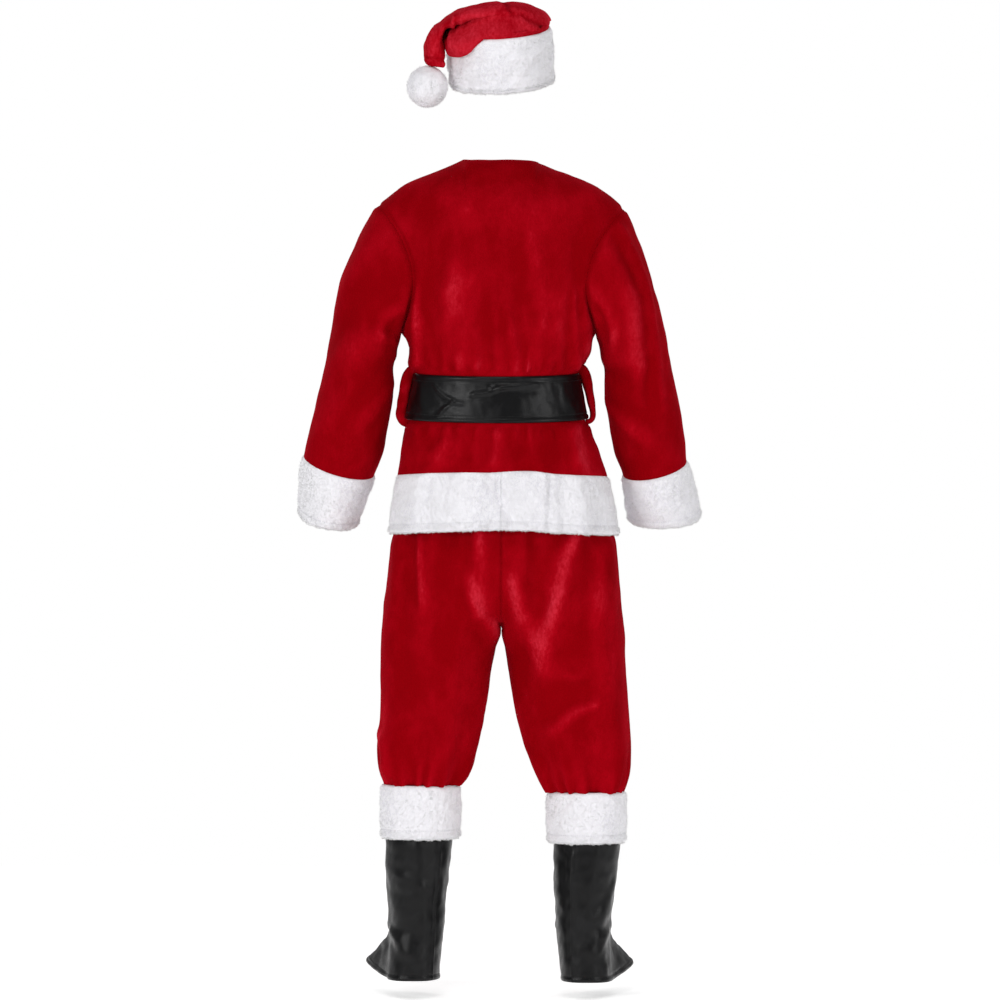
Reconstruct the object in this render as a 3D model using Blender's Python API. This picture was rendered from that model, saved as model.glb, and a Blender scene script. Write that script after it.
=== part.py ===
"""Santa suit in its worn, hollow form: jacket, belt, trousers, boot covers and hat.

Metres, +Z up, the front towards -Y and the wearer's left towards +X. The origin is where the
shoulders hold the suit, HOLD_HEIGHT above the ground. Tables give heights above the ground.
Every cloth piece is a thin wall between an outer grid of points and the same grid moved inwards.
"""

import math

import bmesh
import bpy
import numpy as np

# Driving sizes
HOLD_HEIGHT = 1.550
PLUSH = 0.003
FUR = 0.0065
CUFF_FUR = 0.008
PVC = 0.002
SEAM = 0.0003

# Jacket
UNDERARM_HEIGHT = 1.2340
HEM_TOP, HEM_BOTTOM = 0.9750, 0.8635
ARMHOLE_HALF_DEPTH = 0.088
SIDE_ROUNDING, BULGE_ROUNDING = 0.8, 0.8
BLADE_DEPTH, CHEST_DEPTH = 0.130, 0.135
NECK_BACK, NECK_FRONT = (0.050, 1.5560), (-0.085, 1.4870)
NECK_SIDE_Y = -0.012
NECK_FRACTION = 0.31
NECK_STEPS, SHOULDER_STEPS, ARMHOLE_STEPS = 4, 6, 10

# Half-widths and depths of the jacket's body, and the height of its soft upright folds
BODY_COLUMNS = ("height", "left", "right", "back", "front", "fold")
BODY = (
    (0.8635, 0.2090, 0.2200, 0.1600, 0.1650, 0.0030),
    (0.9200, 0.2010, 0.2090, 0.1540, 0.1600, 0.0040),
    (0.9750, 0.1930, 0.1985, 0.1480, 0.1550, 0.0045),
    (1.0200, 0.1860, 0.1830, 0.1400, 0.1480, 0.0050),
    (1.0630, 0.1770, 0.1650, 0.1300, 0.1370, 0.0030),
    (1.0760, 0.1695, 0.1550, 0.1220, 0.1280, 0.0000),
    (1.1640, 0.1590, 0.1425, 0.1180, 0.1240, 0.0000),
    (1.1780, 0.1720, 0.1560, 0.1240, 0.1300, 0.0030),
    (1.2150, 0.1715, 0.1690, 0.1290, 0.1340, 0.0040),
    (1.2340, 0.1865, 0.1772, 0.1300, 0.1350, 0.0030),
)
BODY_ROWS = (0.9750, 0.9980, 1.0200, 1.0450, 1.0630, 1.0760, 1.1640, 1.1780, 1.2000, 1.2200)

# Fur band round the hem: levels, and how far each stands proud of the cloth
HEM_PROFILE = (
    (HEM_TOP - SEAM, 0.0005),
    (HEM_TOP - 0.006, 0.0015),
    (0.9200, 0.0020),
    (HEM_BOTTOM + 0.018, 0.0000),
    (HEM_BOTTOM + 0.009, 0.0020),
    (HEM_BOTTOM, 0.0000),
)

# Heights of the shoulder line at the neck and at the sleeve, and its rounding at the sleeve
SHOULDER = {"left": (1.5600, 1.4750, 0.012), "right": (1.5550, 1.4680, 0.020)}

# Sleeves: where each ring meets the outer and the inner outline, seen from behind
SLEEVE_COLUMNS = ("outer_x", "outer_h", "inner_x", "inner_h", "depth", "y", "lean", "bow")
SLEEVES = {
    "left": (
        (0.2294, 1.4750, 0.1865, 1.2340, 0.0880, 0.000, 0, 0.042),
        (0.2518, 1.4400, 0.1890, 1.2280, 0.0930, 0.000, 0, 0.022),
        (0.2760, 1.3930, 0.1920, 1.2180, 0.0920, 0.000, 0, 0.008),
        (0.2970, 1.3400, 0.1950, 1.2020, 0.0880, 0.000, 0, 0.000),
        (0.3090, 1.2850, 0.1965, 1.1780, 0.0830, 0.000, 2, 0.000),
        (0.3180, 1.2300, 0.1985, 1.1450, 0.0780, -0.002, 5, 0.000),
        (0.3300, 1.1730, 0.2040, 1.1050, 0.0740, -0.010, 9, 0.000),
        (0.3432, 1.1150, 0.2110, 1.0640, 0.0710, -0.022, 13, 0.000),
        (0.3570, 1.0620, 0.2210, 1.0170, 0.0690, -0.036, 16, 0.000),
        (0.3700, 1.0085, 0.2380, 0.9720, 0.0660, -0.050, 18, 0.000),
    ),
    "right": (
        (0.2294, 1.4680, 0.1772, 1.2340, 0.0880, 0.000, 0, 0.042),
        (0.2440, 1.4400, 0.1800, 1.2270, 0.0930, 0.000, 0, 0.022),
        (0.2640, 1.3900, 0.1830, 1.2170, 0.0920, 0.000, 0, 0.008),
        (0.2820, 1.3350, 0.1855, 1.2010, 0.0880, 0.000, 0, 0.000),
        (0.2960, 1.2800, 0.1885, 1.1770, 0.0830, 0.000, 2, 0.000),
        (0.3080, 1.2280, 0.1915, 1.1450, 0.0780, -0.002, 5, 0.000),
        (0.3200, 1.1650, 0.1965, 1.1050, 0.0740, -0.010, 9, 0.000),
        (0.3310, 1.1080, 0.2030, 1.0640, 0.0710, -0.022, 13, 0.000),
        (0.3420, 1.0550, 0.2130, 1.0170, 0.0690, -0.036, 16, 0.000),
        (0.3480, 0.9980, 0.2290, 0.9720, 0.0640, -0.050, 18, 0.000),
    ),
}
CUFFS = {
    "left": (
        (0.3720, 1.0080, 0.2360, 0.9715, 0.0680, -0.050, 18, 0.0),
        (0.3800, 0.9030, 0.2710, 0.8820, 0.0640, -0.082, 18, 0.0),
    ),
    "right": (
        (0.3490, 0.9975, 0.2280, 0.9715, 0.0660, -0.050, 18, 0.0),
        (0.3740, 0.8970, 0.2400, 0.8915, 0.0640, -0.082, 18, 0.0),
    ),
}
SLEEVE_RINGS, SLEEVE_POINTS = 12, 20
SLEEVE_CAP_ROUNDING = 0.8
CUFF_GAP = 0.0006

# Fur cuff of a sleeve: share of its length, and how far it stands proud
CUFF_PROFILE = (
    (0.00, 0.0010),
    (0.05, 0.0030),
    (0.45, 0.0035),
    (0.84, 0.0005),
    (0.92, 0.0030),
    (1.00, 0.0000),
)

# Folds pressed into a sleeve: from one place to another, given by the share of its length from
# the armhole and the angle round it, where 0 is outside, 90 behind and 180 inside
FOLD_COLUMNS = ("from_along", "from_angle", "to_along", "to_angle", "width", "rise")
FOLD_LENGTH, FOLD_RADIUS = 0.50, 0.075
SLEEVE_FOLDS = {
    "left": (
        (0.45, 175, 0.62, 110, 0.028, -0.0060),
        (0.30, 150, 0.52, 80, 0.030, 0.0050),
        (0.05, 95, 0.35, 60, 0.030, -0.0050),
        (0.62, 265, 0.50, 190, 0.028, -0.0060),
        (0.70, 80, 0.85, 40, 0.026, 0.0040),
    ),
    "right": (
        (0.02, 40, 0.70, 60, 0.026, -0.0060),
        (0.05, 70, 0.60, 95, 0.030, 0.0050),
        (0.48, 175, 0.60, 120, 0.026, -0.0050),
        (0.60, 265, 0.50, 190, 0.028, -0.0060),
        (0.78, 120, 0.90, 60, 0.026, 0.0040),
    ),
}

# Trousers
CROTCH_HEIGHT, SEAT_HEIGHT, TROUSER_TOP = 0.688, 0.860, 1.0380
LEG_COLUMNS = ("height", "outer", "inner", "back", "front", "gather")
LEGS = {
    "left": (
        (0.3950, 0.2170, 0.0755, 0.0700, 0.0700, 0.0030),
        (0.4100, 0.2260, 0.0640, 0.0770, 0.0760, 0.0050),
        (0.4300, 0.2310, 0.0560, 0.0830, 0.0820, 0.0060),
        (0.4680, 0.2330, 0.0466, 0.0880, 0.0860, 0.0045),
        (0.5180, 0.2260, 0.0330, 0.0920, 0.0900, 0.0025),
        (0.6170, 0.2238, 0.0160, 0.1060, 0.1020, 0.0010),
        (0.6880, 0.2205, 0.0003, 0.1230, 0.1130, 0.0010),
        (0.7600, 0.2150, 0.0000, 0.1330, 0.1180, 0.0020),
        (0.8500, 0.2055, 0.0000, 0.1370, 0.1200, 0.0030),
        (0.8750, 0.1960, 0.0000, 0.1350, 0.1190, 0.0030),
        (0.9600, 0.1780, 0.0000, 0.1250, 0.1130, 0.0030),
        (1.0380, 0.1450, 0.0000, 0.1020, 0.0980, 0.0020),
    ),
    "right": (
        (0.3820, 0.2290, 0.0830, 0.0700, 0.0700, 0.0030),
        (0.3990, 0.2380, 0.0735, 0.0770, 0.0760, 0.0050),
        (0.4200, 0.2430, 0.0640, 0.0830, 0.0820, 0.0060),
        (0.4680, 0.2440, 0.0440, 0.0880, 0.0860, 0.0045),
        (0.5180, 0.2406, 0.0300, 0.0920, 0.0900, 0.0025),
        (0.6170, 0.2330, 0.0115, 0.1060, 0.1020, 0.0010),
        (0.6880, 0.2290, 0.0003, 0.1230, 0.1130, 0.0010),
        (0.7600, 0.2230, 0.0000, 0.1330, 0.1180, 0.0020),
        (0.8500, 0.2155, 0.0000, 0.1370, 0.1200, 0.0030),
        (0.8750, 0.2060, 0.0000, 0.1350, 0.1190, 0.0030),
        (0.9600, 0.1800, 0.0000, 0.1250, 0.1130, 0.0030),
        (1.0380, 0.1400, 0.0000, 0.1020, 0.0980, 0.0020),
    ),
}
LEG_ROWS_BELOW, LEG_ROWS_ABOVE, LEG_POINTS = 8, 6, 12
FIRST_ROW_ABOVE_CROTCH = 0.715
SEAT_CURVE, ROW_CROWDING = 1.3, 1.25
GATHERS_ON_HALF_LEG = 3
# How boxy the leg's section is at some heights: 1 is an oval, less is squarer
LEG_SOFTNESS = ((0.40, 0.90), (0.58, 0.80), (0.69, 0.60), (0.80, 0.70), (1.03, 0.85))
WAISTBAND_HEIGHT, WAISTBAND_WALL = 0.035, 0.004
WAISTBAND_POINTS, WAISTBAND_ROUNDING = 32, 0.85

# Fur cuffs of the trousers: centre, half-width, half-depth and heights
LEG_CUFFS = {
    "left": {"x": 0.1505, "half": 0.0732, "depth": 0.0740, "top": 0.3945, "bottom": 0.2970},
    "right": {"x": -0.1592, "half": 0.0728, "depth": 0.0740, "top": 0.3815, "bottom": 0.2890},
}
LEG_CUFF_POINTS = 24
LEG_CUFF_PROFILE = (
    (0.00, -0.0015),
    (0.06, 0.0000),
    (0.45, 0.0010),
    (0.82, -0.0015),
    (0.91, 0.0010),
    (1.00, -0.0010),
)

# Boot covers: rings from the hidden top edge down to the hem round the foot
BOOT_COLUMNS = ("height", "left", "right", "half", "heel", "toe", "tilt")
BOOT = (
    (0.3600, 0.1515, 0.1590, 0.0570, 0.0570, 0.0570, 0.000),
    (0.3000, 0.1525, 0.1617, 0.0630, 0.0640, 0.0640, 0.000),
    (0.2275, 0.1558, 0.1565, 0.0590, 0.0630, 0.0640, 0.000),
    (0.1600, 0.1567, 0.1535, 0.0530, 0.0590, 0.0620, 0.000),
    (0.1250, 0.1567, 0.1520, 0.0500, 0.0570, 0.0700, 0.003),
    (0.0950, 0.1590, 0.1540, 0.0485, 0.0560, 0.1000, 0.012),
    (0.0680, 0.1620, 0.1570, 0.0485, 0.0570, 0.1350, 0.018),
    (0.0340, 0.1640, 0.1600, 0.0490, 0.0590, 0.1600, 0.024),
)
BOOT_DROP = {"left": 0.000, "right": -0.003}
TOE_TURN, TOE_FULL, TOE_BOXINESS = 26.0, 0.1, 0.3
BOOT_POINTS = 20

# Belt and its loops
BELT_WALL, BELT_PIPE, BELT_MARGIN = 0.0022, 0.0036, 0.0005
PIPE_WIDTH = 0.008
BELT_TOP, BELT_BOTTOM = 1.1620, 1.0780
BELT_LAP, LAP_RISE = 7, 3
LOOP_WALL, LOOP_HALF_WIDTH, LOOP_TAPER = 0.012, 0.015, 0.8
LOOP_STATIONS, LOOP_BOW = 13, 0.002
LOOP_COLUMNS = ("height", "out")
LOOP_PATH = (
    (1.1740, 0.0008),
    (1.1640, 0.0050),
    (1.1450, 0.0085),
    (1.1180, 0.0105),
    (1.0900, 0.0105),
    (1.0720, 0.0080),
    (1.0600, 0.0008),
)
BUCKLE_HALF_WIDTH, BUCKLE_HALF_HEIGHT, BUCKLE_BAR = 0.040, 0.052, 0.009
BUCKLE_WALL, PRONG_WALL, PRONG_HALF_WIDTH = 0.004, 0.003, 0.003
BUCKLE_POINTS, BUCKLE_SQUARENESS, BUCKLE_CORNER = 32, 1.5, 0.003
BUCKLE_CLEAR = 0.0006

# Hat
HAT_CENTRE = (0.0010, -0.020, 1.7550)
HAT_TILT, HAT_ROLL = 15.0, 3.0
BAND_HALF_WIDTH, BAND_HALF_DEPTH, BAND_HEIGHT, BAND_WALL = 0.0970, 0.1150, 0.0970, 0.0090
HAT_POINTS = 26

# Fur band of the hat: share of its height from its middle, and how far it stands proud
BAND_PROFILE = ((-0.50, 0.0), (-0.42, 0.003), (0.00, 0.002), (0.42, 0.0), (0.50, -0.002))

CROWN_COLUMNS = ("upper_x", "upper_h", "lower_x", "lower_h", "depth", "y")
CROWN = (
    (-0.0915, 1.8260, 0.1000, 1.8140, 0.1150, -0.036),
    (-0.0770, 1.8430, 0.1040, 1.8160, 0.1120, -0.034),
    (-0.0450, 1.8560, 0.1065, 1.8170, 0.1020, -0.030),
    (0.0000, 1.8590, 0.1075, 1.8150, 0.0900, -0.026),
    (0.0540, 1.8520, 0.1080, 1.8110, 0.0760, -0.020),
    (0.0950, 1.8320, 0.1080, 1.8020, 0.0600, -0.012),
    (0.1240, 1.8060, 0.1080, 1.7860, 0.0450, -0.002),
    (0.1440, 1.7800, 0.1085, 1.7670, 0.0350, 0.008),
    (0.1460, 1.7540, 0.1095, 1.7500, 0.0270, 0.016),
    (0.1400, 1.7410, 0.1130, 1.7390, 0.0150, 0.021),
)
LIP_COLUMNS = ("plain_out", "plain_up", "lip_out", "lip_up")
CROWN_LIP = (
    (0.0000, 0.0000, 0.0000, 0.0000),
    (0.0010, 0.0030, 0.0090, 0.0030),
    (0.0020, 0.0060, 0.0110, -0.0260),
    (0.0030, 0.0090, 0.0210, -0.0340),
    (0.0030, 0.0120, 0.0260, -0.0060),
)

# Where the crown sags over the band: the angle from the left, the spread and the share
SAGS = ((38, 30, 1.0), (-40, 28, 0.7))

POMPOM_PLACE, POMPOM_RADIUS = (0.1370, 0.030, 1.6935), 0.0400

COLORS = {
    "red_plush": ((0.32, 0.004, 0.012, 1.0), 0.85, 0.0),
    "white_fur": ((0.86, 0.86, 0.88, 1.0), 0.95, 0.0),
    "black_pvc": ((0.015, 0.015, 0.016, 1.0), 0.45, 0.0),
    "buckle_metal": ((0.62, 0.42, 0.14, 1.0), 0.30, 1.0),
}


def columns(names, rows):
    """Turn a table into one array for each named column."""
    return dict(zip(names, np.array(rows, float).T))


def smooth_curve(known, values, wanted):
    """Read a table at new places along a cubic curve through its rows."""
    order = np.argsort(known)
    known, values = known[order], values[order]
    slopes = np.gradient(values, known)
    index = np.clip(np.searchsorted(known, wanted) - 1, 0, len(known) - 2)
    span = known[index + 1] - known[index]
    part = (wanted - known[index]) / span
    rise = values[index + 1] - values[index]
    start, end = slopes[index] * span, slopes[index + 1] * span
    cubic = start + end - 2 * rise
    square = 3 * rise - 2 * start - end
    return values[index] + part * (start + part * (square + part * cubic))


def straight(known, values, wanted):
    """Read a table at new places along straight lines between its rows."""
    order = np.argsort(known)
    return np.interp(wanted, known[order], values[order])


def unit(vectors):
    return vectors / np.linalg.norm(vectors, axis=-1, keepdims=True)


def outward(grid, closed):
    """Unit directions square to a grid of points, pointing away from its middle."""
    if closed:
        padded = np.concatenate([grid[:, -1:], grid, grid[:, :1]], axis=1)
        round_it = np.gradient(padded, axis=1)[:, 1:-1]
    else:
        round_it = np.gradient(grid, axis=1)
    along = np.gradient(grid, axis=0)
    found = unit(np.cross(round_it, along))
    middle = grid.mean(axis=1, keepdims=True)
    return found if np.sum(found * (grid - middle)) > 0 else -found


def clear_seam(outer, inner, edge, closed=False):
    """Move one edge of a wall back by half a seam, square to the strip between its two skins."""
    pick, beside = {
        "first_row": ((0,), (1,)),
        "last_row": ((-1,), (-2,)),
        "first_column": ((slice(None), 0), (slice(None), 1)),
        "last_column": ((slice(None), -1), (slice(None), -2)),
    }[edge]
    line, through = outer[pick], inner[pick] - outer[pick]
    if closed:
        tangent = np.roll(line, -1, axis=0) - np.roll(line, 1, axis=0)
    else:
        tangent = np.gradient(line, axis=0)
    away = unit(np.cross(tangent, through))
    toward = np.sign(np.sum(away * (outer[beside] - line), axis=1, keepdims=True))
    outer[pick] += away * toward * SEAM / 2
    inner[pick] += away * toward * SEAM / 2


def material_of(name):
    material = bpy.data.materials.get(name)
    if material:
        return material
    color, roughness, metallic = COLORS[name]
    material = bpy.data.materials.new(name)
    material.use_nodes = True
    shader = material.node_tree.nodes["Principled BSDF"]
    shader.inputs["Base Color"].default_value = color
    shader.inputs["Roughness"].default_value = roughness
    shader.inputs["Metallic"].default_value = metallic
    material.diffuse_color = color
    return material


def add_object(name, points, faces, material):
    """Make a mesh object from points above the ground, smooth, with its faces outwards."""
    points = np.array(points, float)
    points[:, 2] -= HOLD_HEIGHT
    mesh = bpy.data.meshes.new(name)
    mesh.from_pydata(points.tolist(), [], faces)
    shape = bmesh.new()
    shape.from_mesh(mesh)
    bmesh.ops.remove_doubles(shape, verts=shape.verts, dist=1e-6)
    bmesh.ops.recalc_face_normals(shape, faces=shape.faces)
    shape.to_mesh(mesh)
    shape.free()
    mesh.shade_smooth()
    mesh.set_sharp_from_angle(angle=math.radians(50))
    thing = bpy.data.objects.new(name, mesh)
    bpy.context.scene.collection.objects.link(thing)
    mesh.materials.append(material_of(material))
    return thing


def grid_faces(rows, count, closed, start=0):
    """Triangles of a grid of points, all split along the same diagonal."""
    faces = []
    for row in range(rows - 1):
        for column in range(count if closed else count - 1):
            beside = (column + 1) % count
            a = start + row * count + column
            b = start + row * count + beside
            faces += [(a, b, b + count), (a, b + count, a + count)]
    return faces


def add_wall(name, outer, inner, closed, material):
    """Close the space between an outer and an inner grid into one thin solid."""
    rows, count = outer.shape[:2]
    total = rows * count
    faces = grid_faces(rows, count, closed)
    faces += [face[::-1] for face in grid_faces(rows, count, closed, total)]
    first = list(range(count))
    last = list(range(total - count, total))
    rims = [first, last]
    if closed:
        rims = [rim + rim[:1] for rim in rims]
    else:
        rims += [list(range(0, total, count)), list(range(count - 1, total, count))]
    for sign, rim in zip((1, -1, -1, 1), rims):
        for a, b in zip(rim[:-1], rim[1:]):
            faces.append((a, b, b + total, a + total)[::sign])
    points = np.concatenate([outer.reshape(-1, 3), inner.reshape(-1, 3)])
    return add_object(name, points, faces, material)


def add_sweep(name, stations, closed, material):
    """Join a row of equal sections into one solid, with end caps unless it closes on itself."""
    rows, count = stations.shape[:2]
    faces = grid_faces(rows, count, True)
    if closed:
        for column in range(count):
            beside = (column + 1) % count
            a, b = (rows - 1) * count + column, (rows - 1) * count + beside
            faces += [(a, b, beside), (a, beside, column)]
    else:
        faces.append(tuple(range(count))[::-1])
        faces.append(tuple(range((rows - 1) * count, rows * count)))
    return add_object(name, stations.reshape(-1, 3), faces, material)


def body_fold(x, strength):
    """Soft upright folds across the jacket, uneven in spacing."""
    return strength * np.cos(2 * math.pi * x / 0.074 + 0.8 * np.sin(9 * x + 1))


def panel_angles():
    """Angles of the jacket's columns from the right side to the left, closer at the neck."""
    neck = np.arcsin(NECK_FRACTION * np.sin(np.linspace(0, math.pi / 2, NECK_STEPS + 1)))
    shoulder = np.linspace(neck[-1], math.pi / 2, SHOULDER_STEPS + 1)[1:]
    half = np.concatenate([neck, shoulder])
    return np.concatenate([-half[:0:-1], half])


def body_row(height, face, angles, inset=0.0):
    """One level of the jacket's body, a boxy oval, from the right side to the left."""
    table = columns(BODY_COLUMNS, BODY)
    left, right, back, front, fold = (
        straight(table["height"], table[name], height) for name in BODY_COLUMNS[1:]
    )
    sine, cosine = np.sin(angles), np.abs(np.cos(angles))
    x = np.where(sine > 0, left, right) * sine
    depth = back if face > 0 else front
    y = (depth + body_fold(x, fold) * cosine) * cosine**SIDE_ROUNDING
    row = np.stack([x, face * y, np.full_like(x, height)], axis=1)
    if inset:
        flat = np.stack([sine, face * cosine, np.zeros_like(sine)], axis=1)
        row = row + unit(flat) * inset
    return row


def top_line(face, angles):
    """The shoulder seams and the neck edge of a back or a front."""
    sine = np.sin(angles)
    share = np.abs(sine)
    is_neck = share <= NECK_FRACTION + 1e-9
    run = np.where(is_neck, 0, (share - NECK_FRACTION) / (1 - NECK_FRACTION))
    side = np.where(sine >= 0, 0, 1)
    neck_h, tip_h, drop = (np.array(column)[side] for column in zip(*SHOULDER.values()))
    tip_x = np.where(sine >= 0, SLEEVES["left"][0][0], SLEEVES["right"][0][0])
    z = neck_h + (tip_h + drop - neck_h) * run - drop * run**6
    y = NECK_SIDE_Y * (1 - run)
    middle_y, middle_z = NECK_BACK if face > 0 else NECK_FRONT
    bend = np.sqrt(np.clip(1 - (share / NECK_FRACTION) ** 2, 0, 1))
    y = np.where(is_neck, NECK_SIDE_Y + (middle_y - NECK_SIDE_Y) * bend, y)
    z = np.where(is_neck, neck_h + (middle_z - neck_h) * bend, z)
    return np.stack([tip_x * sine, y, z], axis=1)


def armhole_x(side, turn):
    """How far out the armhole seam lies at an angle round it, bowed in at the middle."""
    outer_x, _, inner_x, _, _, _, _, bow = SLEEVES[side][0]
    middle, half = (outer_x + inner_x) / 2, (outer_x - inner_x) / 2
    return middle + half * np.cos(turn) - bow * np.sin(turn) ** 2


def jacket_panel(face):
    """Outer points of the back (face 1) or the front (face -1), from the hem trim to the top."""
    angles = panel_angles()
    rows = [body_row(height, face, angles) for height in BODY_ROWS]
    under = body_row(UNDERARM_HEIGHT, face, angles)
    top = top_line(face, angles)
    sine, cosine = np.sin(angles), np.abs(np.cos(angles))
    depth = BLADE_DEPTH if face > 0 else CHEST_DEPTH
    middle_y = face * (ARMHOLE_HALF_DEPTH + (depth - ARMHOLE_HALF_DEPTH) * cosine**2)
    tip_heights = np.where(sine >= 0, SLEEVES["left"][0][1], SLEEVES["right"][0][1])
    middle_z = (tip_heights + UNDERARM_HEIGHT) / 2
    neck_y, neck_z = NECK_BACK if face > 0 else NECK_FRONT
    soft_top = np.stack(
        [top[:, 0], neck_y * cosine**2, tip_heights + (neck_z - tip_heights) * cosine**2], axis=1
    )
    rows.append(under)
    for turn in np.linspace(math.pi, 0, ARMHOLE_STEPS + 1)[1:]:
        rise, bulge = math.cos(turn), abs(math.sin(turn)) ** BULGE_ROUNDING
        left, right = armhole_x("left", turn), armhole_x("right", turn)
        x = np.where(sine > 0, left, right) * sine
        near_top = max(rise, 0) ** 6
        base = soft_top + (top - soft_top) * near_top if rise >= 0 else under
        y = base[:, 1] + (middle_y - base[:, 1]) * bulge
        z = middle_z + (base[:, 2] - middle_z) * abs(rise)
        rows.append(np.stack([x, y, z], axis=1))
    return np.array(rows)


def armhole_inward(turn):
    """Direction from the armhole seam into the garment, shared by the body and the sleeve."""
    return np.array([0.0, -math.sin(turn), -math.cos(turn)])


def jacket_inner(panels):
    """Inner points of back and front, with equal wall directions where they meet."""
    normals = {face: outward(grid, False) for face, grid in panels.items()}
    below = len(BODY_ROWS)
    is_shoulder = np.abs(np.sin(panel_angles())) >= NECK_FRACTION - 1e-9
    shared = unit(normals[1][-1] + normals[-1][-1])
    for face, found in normals.items():
        found[:below, (0, -1), 1] = 0
        found[0, :, 2] = 0
        found[-1][is_shoulder] = shared[is_shoulder]
        turns = np.linspace(math.pi, 0, ARMHOLE_STEPS + 1)
        for step, turn in enumerate(turns):
            found[below + step, (0, -1)] = -armhole_inward(face * turn)
    return {face: panels[face] - unit(normals[face]) * PLUSH for face in panels}


def add_jacket_body():
    """Back and two fronts, which meet edge to edge down the middle."""
    panels = {face: jacket_panel(face) for face in (1, -1)}
    inners = jacket_inner(panels)
    middle = len(panel_angles()) // 2
    pieces = {
        "jacket_back": (1, slice(None)),
        "jacket_front_right": (-1, slice(None, middle + 1)),
        "jacket_front_left": (-1, slice(middle, None)),
    }
    for name, (face, part) in pieces.items():
        outer, inner = panels[face][:, part].copy(), inners[face][:, part].copy()
        for edge in ("first_row", "last_row", "first_column", "last_column"):
            clear_seam(outer, inner, edge)
        add_wall(name, outer, inner, False, "red_plush")


def sleeve_rings(rows, count, turns, side):
    """Rings through pairs of outline points, each an oval leaning with the forearm."""
    table = columns(SLEEVE_COLUMNS, rows)
    steps = np.arange(len(rows), dtype=float)
    wanted = np.linspace(0, len(rows) - 1, count)
    read = {name: smooth_curve(steps, table[name], wanted)[:, None] for name in SLEEVE_COLUMNS}
    lean = np.radians(read["lean"])
    cosine, sine = np.cos(turns), np.sin(turns)
    from_cap = np.clip(wanted / 3, 0, 1)[:, None] if len(rows) > 2 else 1.0
    softness = SLEEVE_CAP_ROUNDING + (1 - SLEEVE_CAP_ROUNDING) * from_cap
    reach = read["depth"] * np.sign(sine) * np.abs(sine) ** softness
    middle_x = (read["outer_x"] + read["inner_x"]) / 2
    middle_h = (read["outer_h"] + read["inner_h"]) / 2
    x = middle_x + (read["outer_x"] - read["inner_x"]) / 2 * cosine - read["bow"] * sine**2
    y = read["y"] + reach * np.cos(lean)
    z = middle_h + (read["outer_h"] - read["inner_h"]) / 2 * cosine - reach * np.sin(lean)
    sign = 1 if side == "left" else -1
    return np.stack([sign * x, y, z], axis=2)


def press_folds(grid, turns, folds):
    """Raise or sink a sleeve's rings near straight folds drawn on the sleeve laid flat."""
    along = np.linspace(0, FOLD_LENGTH, len(grid))[:, None]
    round_it = turns[None, :] * FOLD_RADIUS
    rise = np.zeros(grid.shape[:2])
    for fold in folds:
        at = dict(zip(FOLD_COLUMNS, fold))
        start = np.array([at["from_along"] * FOLD_LENGTH, math.radians(at["from_angle"]) * FOLD_RADIUS])
        end = np.array([at["to_along"] * FOLD_LENGTH, math.radians(at["to_angle"]) * FOLD_RADIUS])
        run = end - start
        u, v = along - start[0], round_it - start[1]
        share = np.clip((u * run[0] + v * run[1]) / (run @ run), 0, 1)
        gap = np.hypot(u - share * run[0], v - share * run[1])
        rise += at["rise"] * np.exp(-((gap / at["width"]) ** 2))
    return grid + outward(grid, True) * rise[..., None]


def add_sleeve(side):
    turns = np.linspace(0, 2 * math.pi, SLEEVE_POINTS, endpoint=False)
    smooth = sleeve_rings(SLEEVES[side], SLEEVE_RINGS, turns, side)
    outer = smooth.copy()
    outer[1:-1] = press_folds(smooth, turns, SLEEVE_FOLDS[side])[1:-1]
    normals = outward(outer, True)
    normals[0] = -np.array([armhole_inward(turn) for turn in turns])
    inner = outer - normals * PLUSH
    clear_seam(outer, inner, "first_row", True)
    clear_seam(outer, inner, "last_row", True)
    add_wall("sleeve_" + side, outer, inner, True, "red_plush")


def add_sleeve_cuff(side):
    """Fur band sewn to the end of a sleeve, with a stitched channel above its rolled lower lip."""
    turns = np.linspace(0, 2 * math.pi, SLEEVE_POINTS, endpoint=False)
    ends = sleeve_rings(CUFFS[side], 2, turns, side)
    shares, proud = np.array(CUFF_PROFILE).T[:, :, None, None]
    rows = ends[0] + shares * (ends[1] - ends[0])
    sewn = sleeve_rings(SLEEVES[side], 2, turns, side)[-1]
    rows[0] = sewn + unit(ends[1] - ends[0]) * CUFF_GAP
    normals = outward(rows, True)
    outer = rows + normals * proud
    inner = outer - normals * CUFF_FUR
    add_wall("sleeve_cuff_" + side, outer, inner, True, "white_fur")


def body_ring(height, inset=0.0):
    """One whole level of the jacket, starting at the right side seam and passing the back."""
    angles = panel_angles()
    back = body_row(height, 1, angles, inset)
    front = body_row(height, -1, angles, inset)
    return np.concatenate([back, front[-2:0:-1]])


def add_hem_trim():
    """Fur band round the hem in two halves, parted at the centre back and the front edges."""
    outer = np.array([body_ring(height, proud) for height, proud in HEM_PROFILE])
    normals = outward(outer, True)
    normals[..., 2] = 0
    inner = outer - unit(normals) * FUR
    count = outer.shape[1]
    middle = len(panel_angles()) // 2
    halves = {"left": range(middle, middle + count // 2 + 1)}
    halves["right"] = range(middle + count // 2, middle + count + 1)
    for side, part in halves.items():
        chosen = [index % count for index in part]
        skin, lining = outer[:, chosen].copy(), inner[:, chosen].copy()
        clear_seam(skin, lining, "first_column")
        clear_seam(skin, lining, "last_column")
        add_wall("hem_trim_" + side, skin, lining, False, "white_fur")


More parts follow.
